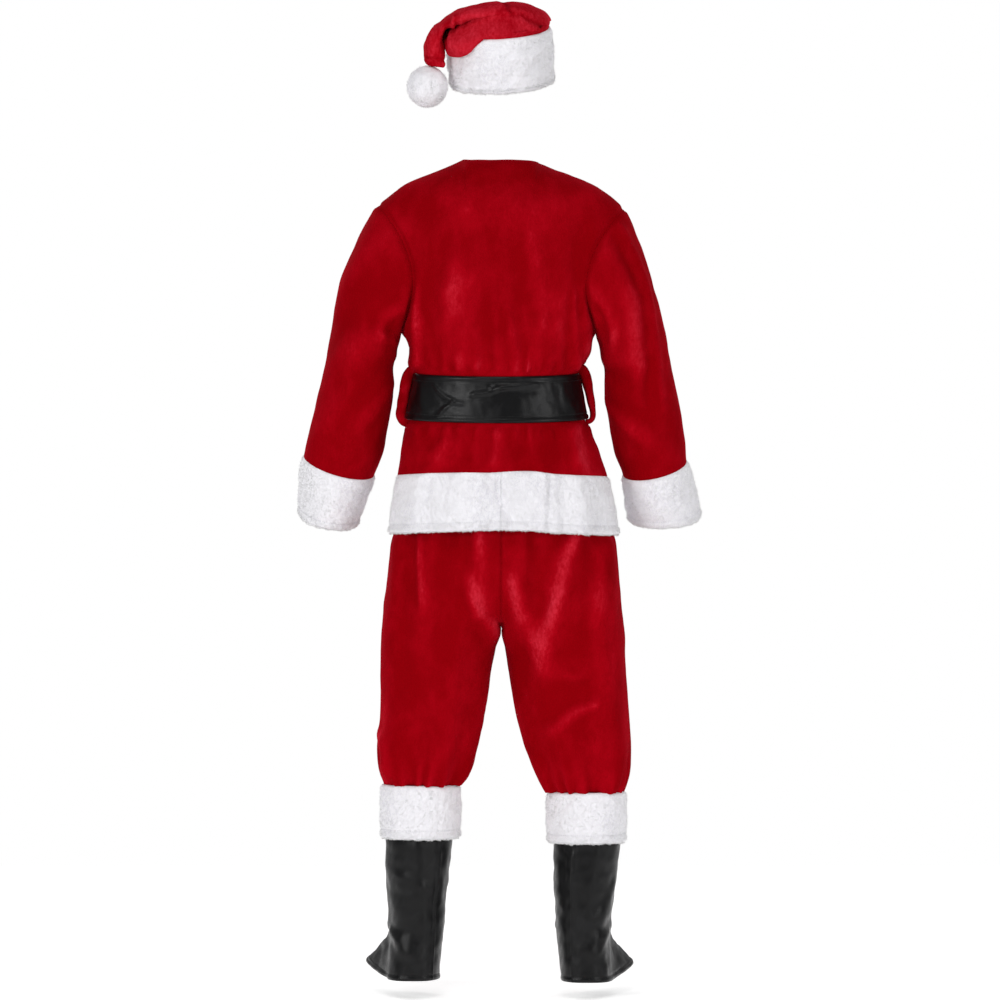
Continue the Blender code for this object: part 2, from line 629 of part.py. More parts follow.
def belt_stations():
    """Sections of the strap along the waist, whose end laps over its start at the front."""
    low, high = body_ring(BELT_BOTTOM), body_ring(BELT_TOP)
    count = len(low)
    front = len(panel_angles()) - 1 + len(panel_angles()) // 2
    order = np.arange(front + 1, front + 1 + count + BELT_LAP)
    flat = body_ring(BELT_BOTTOM, 1.0) - low
    pipe, wall = BELT_PIPE, BELT_WALL
    profile_out = np.array([0, 0, pipe, pipe, wall, wall, pipe, pipe])
    height = BELT_TOP - BELT_BOTTOM
    edge, slope = PIPE_WIDTH / height, PIPE_WIDTH * 1.4 / height
    profile_up = np.array([0, 1, 1, 1 - edge, 1 - slope, slope, edge, 0])
    from_lap = (np.arange(len(order)) - (count - LAP_RISE)) / LAP_RISE
    lap = np.clip(from_lap, 0, 1) * (pipe + BELT_MARGIN)
    sections = []
    for index, raised in zip(order % count, lap):
        base = low[index] + profile_up[:, None] * (high[index] - low[index])
        base[:, 2] = BELT_BOTTOM + profile_up * height
        sections.append(base + flat[index] * (profile_out[:, None] + BELT_MARGIN + raised))
    return np.array(sections)


def front_y(x, height, out):
    """Depth of the jacket's plain front at a place across it, moved out."""
    table = columns(BODY_COLUMNS, BODY)
    half = straight(table["height"], table["left" if x > 0 else "right"], height)
    depth = straight(table["height"], table["front"], height)
    cosine = np.sqrt(np.clip(1 - (x / half) ** 2, 0, 1))
    return -(depth * cosine**SIDE_ROUNDING + out)


def add_buckle_frame(base, middle):
    """A plain frame with rounded corners that bends with the belt."""
    turns = 2 * math.pi * (np.arange(BUCKLE_POINTS) + 0.5) / BUCKLE_POINTS
    across = np.clip(BUCKLE_SQUARENESS * np.cos(turns), -1, 1)
    upward = np.clip(BUCKLE_SQUARENESS * np.sin(turns), -1, 1)
    sections = []
    for x, z in zip(across, upward):
        wide = BUCKLE_HALF_WIDTH - BUCKLE_CORNER * abs(z) ** 8
        section = []
        for is_outer_edge, out in ((1, 0), (1, 1), (0, 1), (0, 0)):
            inside = (1 - is_outer_edge) * BUCKLE_BAR
            place_x = x * (wide - inside)
            place_z = middle + z * (BUCKLE_HALF_HEIGHT - inside)
            level = np.clip(place_z, BELT_BOTTOM, BELT_TOP)
            y = front_y(place_x, level, base + out * BUCKLE_WALL)
            section.append((place_x, y, place_z))
        sections.append(section)
    add_sweep("buckle_frame", np.array(sections), True, "buckle_metal")


def add_buckle_prong(base, middle):
    """A plain prong across the frame's window, its tip resting on the frame."""
    start = -BUCKLE_HALF_WIDTH + BUCKLE_BAR + 0.001
    sections = []
    for x in np.linspace(start, BUCKLE_HALF_WIDTH - 0.002, 7):
        is_on_frame = x > BUCKLE_HALF_WIDTH - BUCKLE_BAR - 0.006
        near = front_y(x, middle, base + (BUCKLE_WALL + SEAM if is_on_frame else SEAM))
        far = near - PRONG_WALL
        low, high = middle - PRONG_HALF_WIDTH, middle + PRONG_HALF_WIDTH
        bevel = PRONG_HALF_WIDTH / 3
        sections.append(
            [(x, near, low), (x, near, high), (x, far, high - bevel), (x, far, low + bevel)]
        )
    add_sweep("buckle_prong", np.array(sections), False, "buckle_metal")


def add_buckle():
    base = BELT_PIPE * 2 + BELT_MARGIN * 3 + BUCKLE_CLEAR
    middle = (BELT_TOP + BELT_BOTTOM) / 2
    add_buckle_frame(base, middle)
    add_buckle_prong(base, middle)


def add_belt_loop(side):
    """Padded cloth strip that arches over the belt at the side seam."""
    table = columns(LOOP_COLUMNS, LOOP_PATH)
    body = columns(BODY_COLUMNS, BODY)
    steps = np.linspace(0, len(LOOP_PATH) - 1, LOOP_STATIONS)
    rows = np.arange(len(LOOP_PATH), dtype=float)
    height = smooth_curve(rows, table["height"], steps)
    out = smooth_curve(rows, table["out"], steps)
    edge = straight(body["height"], body[side], height)
    ends = np.array([edge[0], edge[-1]])
    base = np.interp(height, [height[-1], height[0]], ends[::-1])
    x = base + out - LOOP_BOW * np.sin(np.linspace(0, math.pi, LOOP_STATIONS))
    path = np.stack([x, height], axis=1)
    along = unit(np.gradient(path, axis=0))
    aside = np.stack([-along[:, 1], along[:, 0]], axis=1)
    sections = []
    for (place_x, place_z), (side_x, side_z) in zip(path, aside):
        section = []
        for y, out_by in ((-1, 0), (-LOOP_TAPER, 1), (LOOP_TAPER, 1), (1, 0)):
            shift_x, shift_z = side_x * out_by * LOOP_WALL, side_z * out_by * LOOP_WALL
            section.append((place_x + shift_x, y * LOOP_HALF_WIDTH, place_z + shift_z))
        sections.append(section)
    sections = np.array(sections)
    if side == "right":
        sections[..., 0] *= -1
    add_sweep("belt_loop_" + side, sections, False, "red_plush")


def leg_heights(side):
    bottom = LEGS[side][0][0]
    below = bottom + (CROTCH_HEIGHT - bottom) * np.linspace(0, 1, LEG_ROWS_BELOW) ** ROW_CROWDING
    above = np.linspace(CROTCH_HEIGHT, TROUSER_TOP, LEG_ROWS_ABOVE + 2)[1:]
    above[0] = FIRST_ROW_ABOVE_CROTCH
    return np.concatenate([below, above])


def leg_panel(side, face):
    """Half a leg and half the seat: from the inside seam round the back or front to the outside."""
    heights = leg_heights(side)
    table = columns(LEG_COLUMNS, LEGS[side])
    read = {name: straight(table["height"], table[name], heights) for name in LEG_COLUMNS[1:]}
    rise = np.clip((heights - CROTCH_HEIGHT) / (SEAT_HEIGHT - CROTCH_HEIGHT), 0, 1)
    lean = np.where(heights >= CROTCH_HEIGHT, (1 - rise) ** SEAT_CURVE, 1.0)
    is_leg = heights < CROTCH_HEIGHT - 1e-6
    half = np.where(is_leg, (read["outer"] - read["inner"]) / 2, read["outer"] / (1 + lean))
    centre = np.where(is_leg, (read["outer"] + read["inner"]) / 2, lean * half)
    start = np.where(is_leg, 0.0, np.arccos(np.clip(lean, 0, 1)))
    share = np.linspace(0, 1, LEG_POINTS + 1)
    turn = start[:, None] + (math.pi - start[:, None]) * share
    wave = read["gather"][:, None] * np.sin(2 * math.pi * GATHERS_ON_HALF_LEG * share)
    depth = read["back"] if face > 0 else read["front"]
    x = centre[:, None] - (half[:, None] + wave) * np.cos(turn)
    softness = np.interp(heights, *zip(*LEG_SOFTNESS))[:, None]
    y = face * (depth[:, None] + wave) * np.abs(np.sin(turn)) ** softness
    sign = 1 if side == "left" else -1
    z = np.broadcast_to(heights[:, None], x.shape)
    return np.stack([sign * x, y, z], axis=2)


def add_leg_panel(side, face):
    outer = leg_panel(side, face)
    normals = outward(outer, False)
    crotch = int(np.argmin(np.abs(leg_heights(side) - CROTCH_HEIGHT)))
    normals[:, -1, 1] = 0
    normals[:crotch, 0, 1] = 0
    normals[crotch:, 0, 0] = 0
    normals[crotch, 0] = (0, 0, -1)
    inner = outer - unit(normals) * PLUSH
    for edge in ("first_row", "last_row", "first_column", "last_column"):
        clear_seam(outer, inner, edge)
    place = "back" if face > 0 else "front"
    add_wall("trouser_" + place + "_" + side, outer, inner, False, "red_plush")


def add_waistband():
    """Plain band on top of the trousers, hidden under the jacket."""
    turns = np.linspace(0, 2 * math.pi, WAISTBAND_POINTS, endpoint=False)
    cosine, sine = np.cos(turns), np.sin(turns)
    left, right = (dict(zip(LEG_COLUMNS, LEGS[side][-1])) for side in ("left", "right"))
    x = np.where(cosine > 0, left["outer"], right["outer"]) * cosine
    deep = np.where(sine > 0, left["back"], left["front"])
    y = deep * np.sign(sine) * np.abs(sine) ** WAISTBAND_ROUNDING
    levels = (TROUSER_TOP + SEAM, TROUSER_TOP + WAISTBAND_HEIGHT)
    outer = np.array([np.stack([x, y, np.full_like(x, level)], axis=1) for level in levels])
    inner = outer - outward(outer, True) * WAISTBAND_WALL
    add_wall("waistband", outer, inner, True, "red_plush")


def add_leg_cuff(side):
    """Fur band at the end of a leg, with a stitched channel above its lower lip."""
    sizes = LEG_CUFFS[side]
    turns = np.linspace(0, 2 * math.pi, LEG_CUFF_POINTS, endpoint=False)
    rows = []
    for share, out in LEG_CUFF_PROFILE:
        height = sizes["top"] + share * (sizes["bottom"] - sizes["top"])
        x = sizes["x"] + (sizes["half"] + out) * np.cos(turns)
        y = (sizes["depth"] + out) * np.sin(turns)
        rows.append(np.stack([x, y, np.full_like(x, height)], axis=1))
    outer = np.array(rows)
    normals = outward(outer, True)
    normals[..., 2] = 0
    inner = outer - unit(normals) * FUR
    add_wall("leg_cuff_" + side, outer, inner, True, "white_fur")


def add_boot_cover(side):
    """Vinyl cover that narrows to the ankle and spreads forward over the foot, open below."""
    table = columns(BOOT_COLUMNS, BOOT)
    turns = np.linspace(0, 2 * math.pi, BOOT_POINTS, endpoint=False)
    sign = 1 if side == "left" else -1
    rings = []
    for index, height in enumerate(table["height"]):
        half, heel, toe, tilt = (table[name][index] for name in BOOT_COLUMNS[3:])
        y = np.where(np.sin(turns) > 0, heel, toe) * np.sin(turns)
        is_foot = np.clip((toe - heel) / TOE_FULL, 0, 1)
        yaw = math.radians(TOE_TURN) * is_foot
        ahead = np.clip(-y, 0, None)
        softness = 1 - TOE_BOXINESS * is_foot
        across = np.sign(np.cos(turns)) * np.abs(np.cos(turns)) ** softness
        x = table[side][index] + half * across + np.sin(yaw) * ahead
        z = height + BOOT_DROP[side] + tilt * ahead / toe
        rings.append(np.stack([sign * x, y * np.where(y < 0, np.cos(yaw), 1), z], axis=1))
    outer = np.array(rings)
    inner = outer - outward(outer, True) * PVC
    add_wall("boot_cover_" + side, outer, inner, True, "black_pvc")


def hat_place(x, y, up):
    """Turn a point of the upright hat back and sideways as it sits on the head."""
    tilt, roll = math.radians(HAT_TILT), math.radians(HAT_ROLL)
    turned_y = y * math.cos(tilt) + up * math.sin(tilt)
    turned_z = -y * math.sin(tilt) + up * math.cos(tilt)
    place_x = x * math.cos(roll) + turned_z * math.sin(roll)
    place_z = -x * math.sin(roll) + turned_z * math.cos(roll)
    return np.stack(
        [HAT_CENTRE[0] + place_x, HAT_CENTRE[1] + turned_y, HAT_CENTRE[2] + place_z], axis=-1
    )


def hat_band():
    turns = np.linspace(0, 2 * math.pi, HAT_POINTS, endpoint=False)
    rows, inner = [], []
    for share, out in BAND_PROFILE:
        wide, deep = BAND_HALF_WIDTH + out, BAND_HALF_DEPTH + out
        x, y = wide * np.cos(turns), deep * np.sin(turns)
        up = np.full_like(x, share * BAND_HEIGHT)
        rows.append(hat_place(x, y, up))
        x, y = (wide - BAND_WALL) * np.cos(turns), (deep - BAND_WALL) * np.sin(turns)
        inner.append(hat_place(x, y, up))
    return np.array(rows), np.array(inner)


def hat_crown():
    """Lip rows that sag over the band at the left, then rings that close down to the tail's tip."""
    turns = np.linspace(0, 2 * math.pi, HAT_POINTS, endpoint=False)
    degrees = (np.degrees(turns) + 180) % 360 - 180
    sag = sum(most * np.exp(-(((degrees - at) / spread) ** 2)) for at, spread, most in SAGS)
    start = BAND_HALF_WIDTH - BAND_WALL / 2
    deep = BAND_HALF_DEPTH - BAND_WALL / 2
    rows = []
    for plain_out, plain_up, lip_out, lip_up in CROWN_LIP:
        out = plain_out + (lip_out - plain_out) * sag
        up = BAND_HEIGHT / 2 + SEAM + plain_up + (lip_up - plain_up) * sag
        rows.append(hat_place((start + out) * np.cos(turns), (deep + out) * np.sin(turns), up))
    table = columns(CROWN_COLUMNS, CROWN)
    for upper_x, upper_h, lower_x, lower_h, depth, y in zip(*(table[n] for n in CROWN_COLUMNS)):
        across = (1 - np.cos(turns)) / 2
        x = lower_x + (upper_x - lower_x) * across
        z = lower_h + (upper_h - lower_h) * across
        rows.append(np.stack([x, y + depth * np.sin(turns), z], axis=1))
    return np.array(rows)


def add_hat():
    outer, inner = hat_band()
    add_wall("hat_band", outer, inner, True, "white_fur")
    outer = hat_crown()
    up = unit(hat_place(0.0, 0.0, 1.0) - hat_place(0.0, 0.0, 0.0))
    normals = outward(outer, True)
    normals[0] = unit(normals[0] - np.sum(normals[0] * up, axis=1, keepdims=True) * up)
    inner = outer - normals * PLUSH
    ball = np.array(POMPOM_PLACE)
    end = unit(outer[-1].mean(axis=0) - ball)
    tip_out = ball + end * (POMPOM_RADIUS + SEAM)
    tip_in = tip_out + end * PLUSH
    outer = np.concatenate([outer, np.broadcast_to(tip_out, (1, HAT_POINTS, 3))])
    inner = np.concatenate([inner, np.broadcast_to(tip_in, (1, HAT_POINTS, 3))])
    add_closed_tip("hat_crown", outer, inner, "red_plush")
    add_pompom()


def add_pompom():
    bpy.ops.mesh.primitive_ico_sphere_add(subdivisions=3, radius=POMPOM_RADIUS)
    ball = bpy.context.object
    ball.name = "pompom"
    ball.data.name = "pompom"
    x, y, height = POMPOM_PLACE
    ball.location = (x, y, height - HOLD_HEIGHT)
    ball.data.shade_smooth()
    ball.data.materials.append(material_of("white_fur"))


def add_closed_tip(name, outer, inner, material):
    """A tube wall whose last row is one point on each skin."""
    rows, count = outer.shape[:2]
    skins = [np.concatenate([grid[:-1].reshape(-1, 3), grid[-1, :1]]) for grid in (outer, inner)]
    points = np.concatenate(skins)
    total = (rows - 1) * count + 1
    faces = grid_faces(rows - 1, count, True)
    faces += [face[::-1] for face in grid_faces(rows - 1, count, True, total)]
    for column in range(count):
        beside = (column + 1) % count
        a, b = (rows - 2) * count + column, (rows - 2) * count + beside
        faces += [(a, b, total - 1), (b + total, a + total, 2 * total - 1)]
        faces.append((column, column + total, beside + total, beside))
    return add_object(name, points, faces, material)


def main():
    for thing in list(bpy.data.objects):
        bpy.data.objects.remove(thing, do_unlink=True)
    add_jacket_body()
    add_hem_trim()
    add_sweep("belt_strap", belt_stations(), False, "black_pvc")
    add_buckle()
    for side in ("left", "right"):
        add_sleeve(side)
        add_sleeve_cuff(side)
        add_belt_loop(side)
        add_leg_panel(side, 1)
        add_leg_panel(side, -1)
        add_leg_cuff(side)
        add_boot_cover(side)
    add_waistband()
    add_hat()


main()
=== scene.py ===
"""Santa suit in its worn, hollow form: the visible cloth, fur, vinyl and brass over its solids.

Metres, +Z up, the front towards -Y and the wearer's left towards +X. Tables give heights above
the ground, and the origin lies hold_height above it. Each cloth piece is a wall between an outer
grid of points and the same grid moved inwards, closed round its edges.
"""

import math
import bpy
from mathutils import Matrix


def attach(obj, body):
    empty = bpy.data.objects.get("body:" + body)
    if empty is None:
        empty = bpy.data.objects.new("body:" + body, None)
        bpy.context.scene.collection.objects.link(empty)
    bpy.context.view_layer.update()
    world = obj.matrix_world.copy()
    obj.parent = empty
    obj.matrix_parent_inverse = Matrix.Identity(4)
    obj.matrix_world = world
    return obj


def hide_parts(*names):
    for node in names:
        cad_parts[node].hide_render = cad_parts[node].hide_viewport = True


bl_info = {
    "name": "Santa Suit",
    "version": (1, 0, 0),
    "blender": (4, 5, 0),
    "location": "View3D > Sidebar > Suit",
    "description": "Makes a worn plush suit with fur trim, belt, boot covers and hat",
    "category": "Add Mesh",
}

import bpy
import numpy as np
from bpy.props import FloatProperty, FloatVectorProperty, PointerProperty
from bpy.types import Operator, Panel, PropertyGroup

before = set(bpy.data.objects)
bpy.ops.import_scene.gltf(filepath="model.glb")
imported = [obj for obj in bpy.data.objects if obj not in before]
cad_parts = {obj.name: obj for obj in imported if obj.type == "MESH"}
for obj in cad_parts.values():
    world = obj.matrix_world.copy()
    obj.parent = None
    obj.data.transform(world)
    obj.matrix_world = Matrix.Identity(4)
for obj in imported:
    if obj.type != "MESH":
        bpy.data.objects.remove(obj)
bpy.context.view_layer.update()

TAU = 2 * math.pi
SIDES = ("left", "right")
WAVES = 12
SEAM = 0.0003

# Jacket
UNDERARM_HEIGHT = 1.2340
HEM_TOP, HEM_BOTTOM = 0.9750, 0.8635
ARMHOLE_HALF_DEPTH = 0.088
BLADE_DEPTH, CHEST_DEPTH = 0.130, 0.135
SIDE_ROUNDING, BULGE_ROUNDING = 0.8, 0.8
NECK_BACK, NECK_FRONT = (0.050, 1.5560), (-0.085, 1.4870)
NECK_SIDE_Y = -0.012
NECK_FRACTION = 0.31
ARMHOLE_VALLEY = 0.0028
NECK_COLUMNS, SHOULDER_COLUMNS, ARMHOLE_ROWS, BODY_ROWS = 10, 24, 40, 52

# Half-widths and depths of the jacket's body, and the height of its soft upright folds
BODY_COLUMNS = ("height", "left", "right", "back", "front", "fold")
BODY = (
    (0.8635, 0.2090, 0.2200, 0.1600, 0.1650, 0.0030),
    (0.9200, 0.2010, 0.2090, 0.1540, 0.1600, 0.0040),
    (0.9750, 0.1930, 0.1985, 0.1480, 0.1550, 0.0045),
    (1.0200, 0.1860, 0.1830, 0.1400, 0.1480, 0.0050),
    (1.0630, 0.1770, 0.1650, 0.1300, 0.1370, 0.0030),
    (1.0760, 0.1695, 0.1550, 0.1220, 0.1280, 0.0000),
    (1.1640, 0.1590, 0.1425, 0.1180, 0.1240, 0.0000),
    (1.1780, 0.1720, 0.1560, 0.1240, 0.1300, 0.0030),
    (1.2150, 0.1715, 0.1690, 0.1290, 0.1340, 0.0040),
    (1.2340, 0.1865, 0.1772, 0.1300, 0.1350, 0.0030),
)

# Heights of the shoulder line at the neck and at the sleeve, and its rounding at the sleeve
SHOULDER = {"left": (1.5600, 1.4750, 0.012), "right": (1.5550, 1.4680, 0.020)}

# Sleeves: where each ring meets the outer and the inner outline, seen from behind
SLEEVE_COLUMNS = ("outer_x", "outer_h", "inner_x", "inner_h", "depth", "y", "lean", "bow")
SLEEVES = {
    "left": (
        (0.2294, 1.4750, 0.1865, 1.2340, 0.0880, 0.000, 0, 0.042),
        (0.2518, 1.4400, 0.1890, 1.2280, 0.0930, 0.000, 0, 0.022),
        (0.2760, 1.3930, 0.1920, 1.2180, 0.0920, 0.000, 0, 0.008),
        (0.2970, 1.3400, 0.1950, 1.2020, 0.0880, 0.000, 0, 0.000),
        (0.3090, 1.2850, 0.1965, 1.1780, 0.0830, 0.000, 2, 0.000),
        (0.3180, 1.2300, 0.1985, 1.1450, 0.0780, -0.002, 5, 0.000),
        (0.3300, 1.1730, 0.2040, 1.1050, 0.0740, -0.010, 9, 0.000),
        (0.3432, 1.1150, 0.2110, 1.0640, 0.0710, -0.022, 13, 0.000),
        (0.3570, 1.0620, 0.2210, 1.0170, 0.0690, -0.036, 16, 0.000),
        (0.3700, 1.0085, 0.2380, 0.9720, 0.0660, -0.050, 18, 0.000),
    ),
    "right": (
        (0.2294, 1.4680, 0.1772, 1.2340, 0.0880, 0.000, 0, 0.042),
        (0.2440, 1.4400, 0.1800, 1.2270, 0.0930, 0.000, 0, 0.022),
        (0.2640, 1.3900, 0.1830, 1.2170, 0.0920, 0.000, 0, 0.008),
        (0.2820, 1.3350, 0.1855, 1.2010, 0.0880, 0.000, 0, 0.000),
        (0.2960, 1.2800, 0.1885, 1.1770, 0.0830, 0.000, 2, 0.000),
        (0.3080, 1.2280, 0.1915, 1.1450, 0.0780, -0.002, 5, 0.000),
        (0.3200, 1.1650, 0.1965, 1.1050, 0.0740, -0.010, 9, 0.000),
        (0.3310, 1.1080, 0.2030, 1.0640, 0.0710, -0.022, 13, 0.000),
        (0.3420, 1.0550, 0.2130, 1.0170, 0.0690, -0.036, 16, 0.000),
        (0.3480, 0.9980, 0.2290, 0.9720, 0.0640, -0.050, 18, 0.000),
    ),
}
SLEEVE_ROWS, SLEEVE_COUNT = 88, 2 * ARMHOLE_ROWS
SLEEVE_CAP_ROUNDING = 0.8
SLEEVE_LENGTH, SLEEVE_RADIUS = 0.50, 0.075
SLEEVE_EDGE_SHARE = 0.35
CUFFS = {
    "left": (
        (0.3702, 1.0080, 0.2377, 0.9715, 0.0678, -0.050, 18, 0.0),
        (0.3800, 0.9030, 0.2710, 0.8820, 0.0640, -0.082, 18, 0.0),
    ),
    "right": (
        (0.3476, 0.9975, 0.2297, 0.9715, 0.0658, -0.050, 18, 0.0),
        (0.3740, 0.8970, 0.2400, 0.8915, 0.0640, -0.082, 18, 0.0),
    ),
}

# A cuff is thin where the sleeve's end lies inside it, and has its full depth of fur at its lip.
CUFF_WALL_TOP, CUFF_WALL_LIP = 0.0034, 0.008

# Trousers
CROTCH_HEIGHT, SEAT_HEIGHT, TROUSER_TOP = 0.688, 0.860, 1.0380
SEAT_CURVE = 1.3
LEG_COLUMNS = ("height", "outer", "inner", "back", "front", "gather")
LEGS = {
    "left": (
        (0.3950, 0.2170, 0.0755, 0.0700, 0.0700, 0.0030),
        (0.4100, 0.2260, 0.0640, 0.0770, 0.0760, 0.0050),
        (0.4300, 0.2310, 0.0560, 0.0830, 0.0820, 0.0060),
        (0.4680, 0.2330, 0.0466, 0.0880, 0.0860, 0.0045),
        (0.5180, 0.2260, 0.0330, 0.0920, 0.0900, 0.0025),
        (0.6170, 0.2238, 0.0160, 0.1060, 0.1020, 0.0010),
        (0.6880, 0.2205, 0.0003, 0.1230, 0.1130, 0.0010),
        (0.7600, 0.2150, 0.0000, 0.1330, 0.1180, 0.0020),
        (0.8500, 0.2055, 0.0000, 0.1370, 0.1200, 0.0030),
        (0.8750, 0.1960, 0.0000, 0.1350, 0.1190, 0.0030),
        (0.9600, 0.1780, 0.0000, 0.1250, 0.1130, 0.0030),
        (1.0380, 0.1450, 0.0000, 0.1020, 0.0980, 0.0020),
    ),
    "right": (
        (0.3820, 0.2290, 0.0830, 0.0700, 0.0700, 0.0030),
        (0.3990, 0.2380, 0.0735, 0.0770, 0.0760, 0.0050),
        (0.4200, 0.2430, 0.0640, 0.0830, 0.0820, 0.0060),
        (0.4680, 0.2440, 0.0440, 0.0880, 0.0860, 0.0045),
        (0.5180, 0.2406, 0.0300, 0.0920, 0.0900, 0.0025),
        (0.6170, 0.2330, 0.0115, 0.1060, 0.1020, 0.0010),
        (0.6880, 0.2290, 0.0003, 0.1230, 0.1130, 0.0010),
        (0.7600, 0.2230, 0.0000, 0.1330, 0.1180, 0.0020),
        (0.8500, 0.2155, 0.0000, 0.1370, 0.1200, 0.0030),
        (0.8750, 0.2060, 0.0000, 0.1350, 0.1190, 0.0030),
        (0.9600, 0.1800, 0.0000, 0.1250, 0.1130, 0.0030),
        (1.0380, 0.1400, 0.0000, 0.1020, 0.0980, 0.0020),
    ),
}
LEG_SOFTNESS = ((0.40, 0.90), (0.58, 0.80), (0.69, 0.60), (0.80, 0.70), (1.03, 0.85))
LEG_ROWS_BELOW, LEG_ROWS_ABOVE, LEG_COUNT = 56, 60, 56
GATHERS_ON_HALF_LEG = 3
WAISTBAND_HEIGHT, WAISTBAND_WALL, WAISTBAND_ROUNDING = 0.035, 0.004, 0.85
LEG_CUFFS = {
    "left": {"x": 0.1505, "half": 0.0732, "depth": 0.0740, "top": 0.3945, "bottom": 0.2970},
    "right": {"x": -0.1592, "half": 0.0728, "depth": 0.0740, "top": 0.3815, "bottom": 0.2890},
}

# Boot covers: rings from the hidden top edge down to the hem round the foot
BOOT_COLUMNS = ("height", "left", "right", "half", "heel", "toe", "tilt")
BOOT = (
    (0.3600, 0.1515, 0.1590, 0.0570, 0.0570, 0.0570, 0.000),
    (0.3000, 0.1525, 0.1617, 0.0630, 0.0640, 0.0640, 0.000),
    (0.2275, 0.1558, 0.1565, 0.0590, 0.0630, 0.0640, 0.000),
    (0.1600, 0.1567, 0.1535, 0.0530, 0.0590, 0.0620, 0.000),
    (0.1250, 0.1567, 0.1520, 0.0500, 0.0570, 0.0700, 0.003),
    (0.0950, 0.1590, 0.1540, 0.0485, 0.0560, 0.1000, 0.012),
    (0.0680, 0.1620, 0.1570, 0.0485, 0.0570, 0.1350, 0.018),
    (0.0340, 0.1640, 0.1600, 0.0490, 0.0590, 0.1600, 0.024),
)
BOOT_DROP = {"left": 0.000, "right": -0.003}
TOE_TURN, TOE_FULL, TOE_BOXINESS = 26.0, 0.1, 0.3
BOOT_ROWS, BOOT_COUNT = 110, 96

# Belt, buckle and belt loops
BELT_WALL, BELT_PIPE, BELT_MARGIN = 0.0022, 0.0036, 0.0005
PIPE_WIDTH = 0.008
WAIST_SAG, SAG_DEPTH, SAG_FLATNESS = 0.0105, 0.118, 1.2
SAG_LEVELS, SAG_SHARES = (0.980, 1.060, 1.180, 1.232), (0.0, 1.0, 1.0, 0.0)
BELT_TOP, BELT_BOTTOM = 1.1620, 1.0780
BELT_START, BELT_LAP_END, BELT_COUNT, BELT_ROWS = 6.8, 66.0, 420, 30
BELT_LOOSE = {"left": 0.0070, "right": 0.0046}

# Belt loops: half the thickness of each at its top and its bottom, how far it stands out, and
# its arch as shares
LOOPS = {
    "left": {"half": (0.0114, 0.0102), "out": 0.0148, "top": (0.1576, 1.1690), "bottom": (0.1745, 1.0700)},
    "right": {"half": (0.0114, 0.0046), "out": 0.0128, "top": (0.1430, 1.1700), "bottom": (0.1625, 1.0710)},
}
LOOP_HALF_WIDTH = 0.015
LOOP_ARCH = ((0.00, -0.35), (0.01, 0.20), (0.07, 0.72), (0.20, 0.95), (0.50, 1.00), (0.80, 0.97),
             (0.93, 0.72), (0.99, 0.20), (1.00, -0.35))
BUCKLE_HALF_WIDTH, BUCKLE_HALF_HEIGHT, BUCKLE_BAR = 0.040, 0.052, 0.009
BUCKLE_WALL, PRONG_WALL, PRONG_HALF_WIDTH = 0.004, 0.003, 0.003
BUCKLE_CLEAR = 0.0006

# Hat
HAT_CENTRE = (0.0010, -0.020, 1.7550)
HAT_TILT, HAT_ROLL = 15.0, 3.0
BAND_HALF_WIDTH, BAND_HALF_DEPTH, BAND_HEIGHT, BAND_WALL = 0.0970, 0.1150, 0.0970, 0.0090
# Crown: where each ring meets the upper and the lower outline, its depth, and how far back its
# middle and its lower side lie
CROWN = (
    (-0.0915, 1.8245, 0.1000, 1.8050, 0.1160, -0.024, 0.000),
    (-0.0770, 1.8400, 0.1030, 1.8020, 0.1140, -0.021, 0.003),
    (-0.0450, 1.8515, 0.1050, 1.7980, 0.1050, -0.016, 0.008),
    (0.0000, 1.8545, 0.1060, 1.7940, 0.0940, -0.012, 0.014),
    (0.0540, 1.8480, 0.1065, 1.7890, 0.0800, -0.007, 0.020),
    (0.0950, 1.8300, 0.1065, 1.7840, 0.0640, -0.002, 0.025),
    (0.1240, 1.8050, 0.1055, 1.7780, 0.0490, 0.004, 0.028),
    (0.1430, 1.7800, 0.1030, 1.7700, 0.0390, 0.010, 0.026),
    (0.1455, 1.7560, 0.1025, 1.7550, 0.0300, 0.018, 0.018),
    (0.1430, 1.7400, 0.1040, 1.7400, 0.0200, 0.028, 0.010),
    (0.1330, 1.7300, 0.1070, 1.7280, 0.0110, 0.040, 0.004),
)
CROWN_LIP = (
    (0.0000, 0.0000, 0.0000, 0.0000),
    (0.0010, 0.0030, 0.0090, 0.0030),
    (0.0020, 0.0060, 0.0110, -0.0260),
    (0.0030, 0.0090, 0.0210, -0.0340),
    (0.0030, 0.0120, 0.0260, -0.0060),
)
SAGS = ((36, 31, 0.90, 4), (-40, 28, 0.70, 2))
CROWN_ROWS, HAT_COUNT = 96, 104
POMPOM_PLACE, POMPOM_RADIUS = (0.1370, 0.030, 1.6935), 0.0400
POMPOM_BALL_SHARE, POMPOM_TUFTS, POMPOM_DROOP = 0.95, 3000, 1.2

